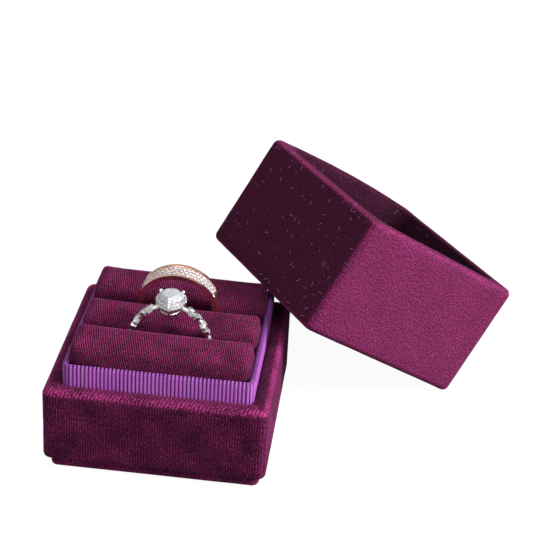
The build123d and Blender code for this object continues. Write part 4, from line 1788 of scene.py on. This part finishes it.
def back_claw(side):
    """One of the two claws over the stone's round end."""
    cap = stone_width / 2
    x = side * cap * math.cos(back_claw_angle)
    y = stone_end - cap * (1 - math.sin(back_claw_angle))
    low = Vector((x * rail_share, y * rail_share, rail_height * mm))
    return claw("back_claw", low, Vector((x, y, back_claw_top)), claw_radius)


def post(spot, share, top, radius):
    """A bar from the rail up to the halo, above a spot on the cup's outline."""
    low = spot * rail_share + Vector((0, 0, rail_height * mm))
    return claw("post", low, spot * share + Vector((0, 0, top)), radius)


point_claw = claw("point_claw", point_claw_low, point_claw_top, point_claw_radius)
point_post = post(point_spot, share=0.82, top=-1.6 * mm, radius=post_radius)
side_posts = [post(along(cup_outline, way), share=0.84, top=-1.9 * mm, radius=post_radius * 0.8)
              for way in (0.2, 0.8)]
head_parts = [halo, rail, back_claw(-1), back_claw(1), point_claw, point_post] + side_posts
print("claws and posts:", len(head_parts) - 2)

# %% [markdown]
# The halo's wall slopes, so its stones can't lie level. Each gets a matrix of its own, whose Z points out
# of the wall at its place on the outline. Two beads of metal sit above and below each gap between two
# stones.

# %% Halo stones and their beads
halo_stone_radius = 0.42 * mm
halo_stone_count = 24
halo_drop = 0.75 * mm
halo_top_share = 0.89
halo_depth = 1.5 * mm
halo_slope = math.atan2(cup_half_width * (1 - halo_top_share), halo_depth)
halo_bead_radius = 0.15 * mm
bead_row_gap = 0.36 * mm
bead_rows = (halo_drop - bead_row_gap, halo_drop + bead_row_gap)
stone_lift, bead_lift = 0.04 * mm, 0.02 * mm


def halo_place(share, drop, lift):
    """A place on the halo's sloping wall. Its Z points out of the wall."""
    out = outward(cup_outline, share)
    normal = out * math.cos(halo_slope) + Vector((0, 0, math.sin(halo_slope)))
    scale = halo_top_share + (1 - halo_top_share) * drop / halo_depth
    spot = along(cup_outline, share) * scale - Vector((0, 0, drop)) + normal * lift
    turn = normal.to_track_quat("Z", "Y").to_matrix().to_4x4()
    return Matrix.Translation(spot) @ turn


halo_cut = dict(small_cut, crown=0.14 * mm, pavilion=0.33 * mm)
halo_model = cut_stone("halo_stone", circle(halo_stone_radius, round_sides), **halo_cut)
halo_places = [halo_place((i + 0.5) / halo_stone_count, halo_drop, stone_lift)
               for i in range(halo_stone_count)]
halo_stones = spread("solitaire_halo_gems", halo_model, halo_places, head_axes)
dress(halo_stones, small_stone_glass, "clear_stone", "solitaire_ring", "solitaire_halo_stones")
bead_places = [halo_place(i / halo_stone_count, drop, bead_lift)
               for i in range(halo_stone_count) for drop in bead_rows]
head_parts.append(spread("halo_beads", bead("bead", halo_bead_radius), bead_places, Matrix()))
head = join("solitaire_head_metal", head_parts)
place(head, head_axes)
dress(head, white_gold, "white_metal", "solitaire_ring", "solitaire_basket")

# %% [markdown]
# The large stone is cut last, with the same helper as the small ones. Its eight large facets, where a small
# stone has six, keep the pear's outline round at its wide end.

# %% The pear-shaped stone
pear_stone = cut_stone("solitaire_pear_stone", pear(stone_width, stone_length, 8), crown=1.15 * mm,
                       pavilion=1.9 * mm, girdle=0.1 * mm, slope=40)
place(pear_stone, head_axes)
dress(pear_stone, pear_stone_glass, "clear_stone", "solitaire_ring", "solitaire_stone")

# %% [markdown]
# ## Board and card
#
# Under the cloth lie grey board and white or violet card. They only show where the cloth leaves a gap, but
# a part that comes apart should look right inside too. Board is pressed paper, which a noise with much
# detail draws well: short fibres in two tones. These parts keep the shape of the construction model.

# %% Board and card
paper_depth = 0.03 * mm


def pressed_paper(name, dark, light, scale):
    """Pressed paper: short fibres in two tones, and slightly rough."""
    material, tree, shader = new_material(name)
    here = add_node(tree, "TexCoord").outputs["Object"]
    fibres = noise(tree, here, scale=scale, detail=6.0, roughness=0.7)
    fill_in(tree, shader, {
        "Base Color": blend(tree, fibres, dark, light),
        "Roughness": 0.9,
        "Normal": relief(tree, fibres, strength=0.4, depth=paper_depth),
    })
    return material


grey_board = pressed_paper("grey_board", colour(128, 120, 108), colour(176, 168, 152), 1600.0)
white_card = pressed_paper("white_card", colour(206, 202, 192), colour(234, 230, 222), 2400.0)
violet_card = pressed_paper("violet_card", colour(60, 26, 72), colour(88, 42, 102), 2400.0)
walls = [f"{half}_wall_{side}" for half in ("base", "lid") for side in ("front", "back", "left", "right")]
plain_nodes = {
    grey_board: ["bottom_board", "base_floor_board", "lid_top_board"] + walls,
    white_card: ["infill_card", "pad_card"],
    violet_card: ["collar_card"],
}
for material, names in plain_nodes.items():
    for name in names:
        repaint(nodes[name], material)
print("boards and cards:", sum(len(names) for names in plain_nodes.values()))
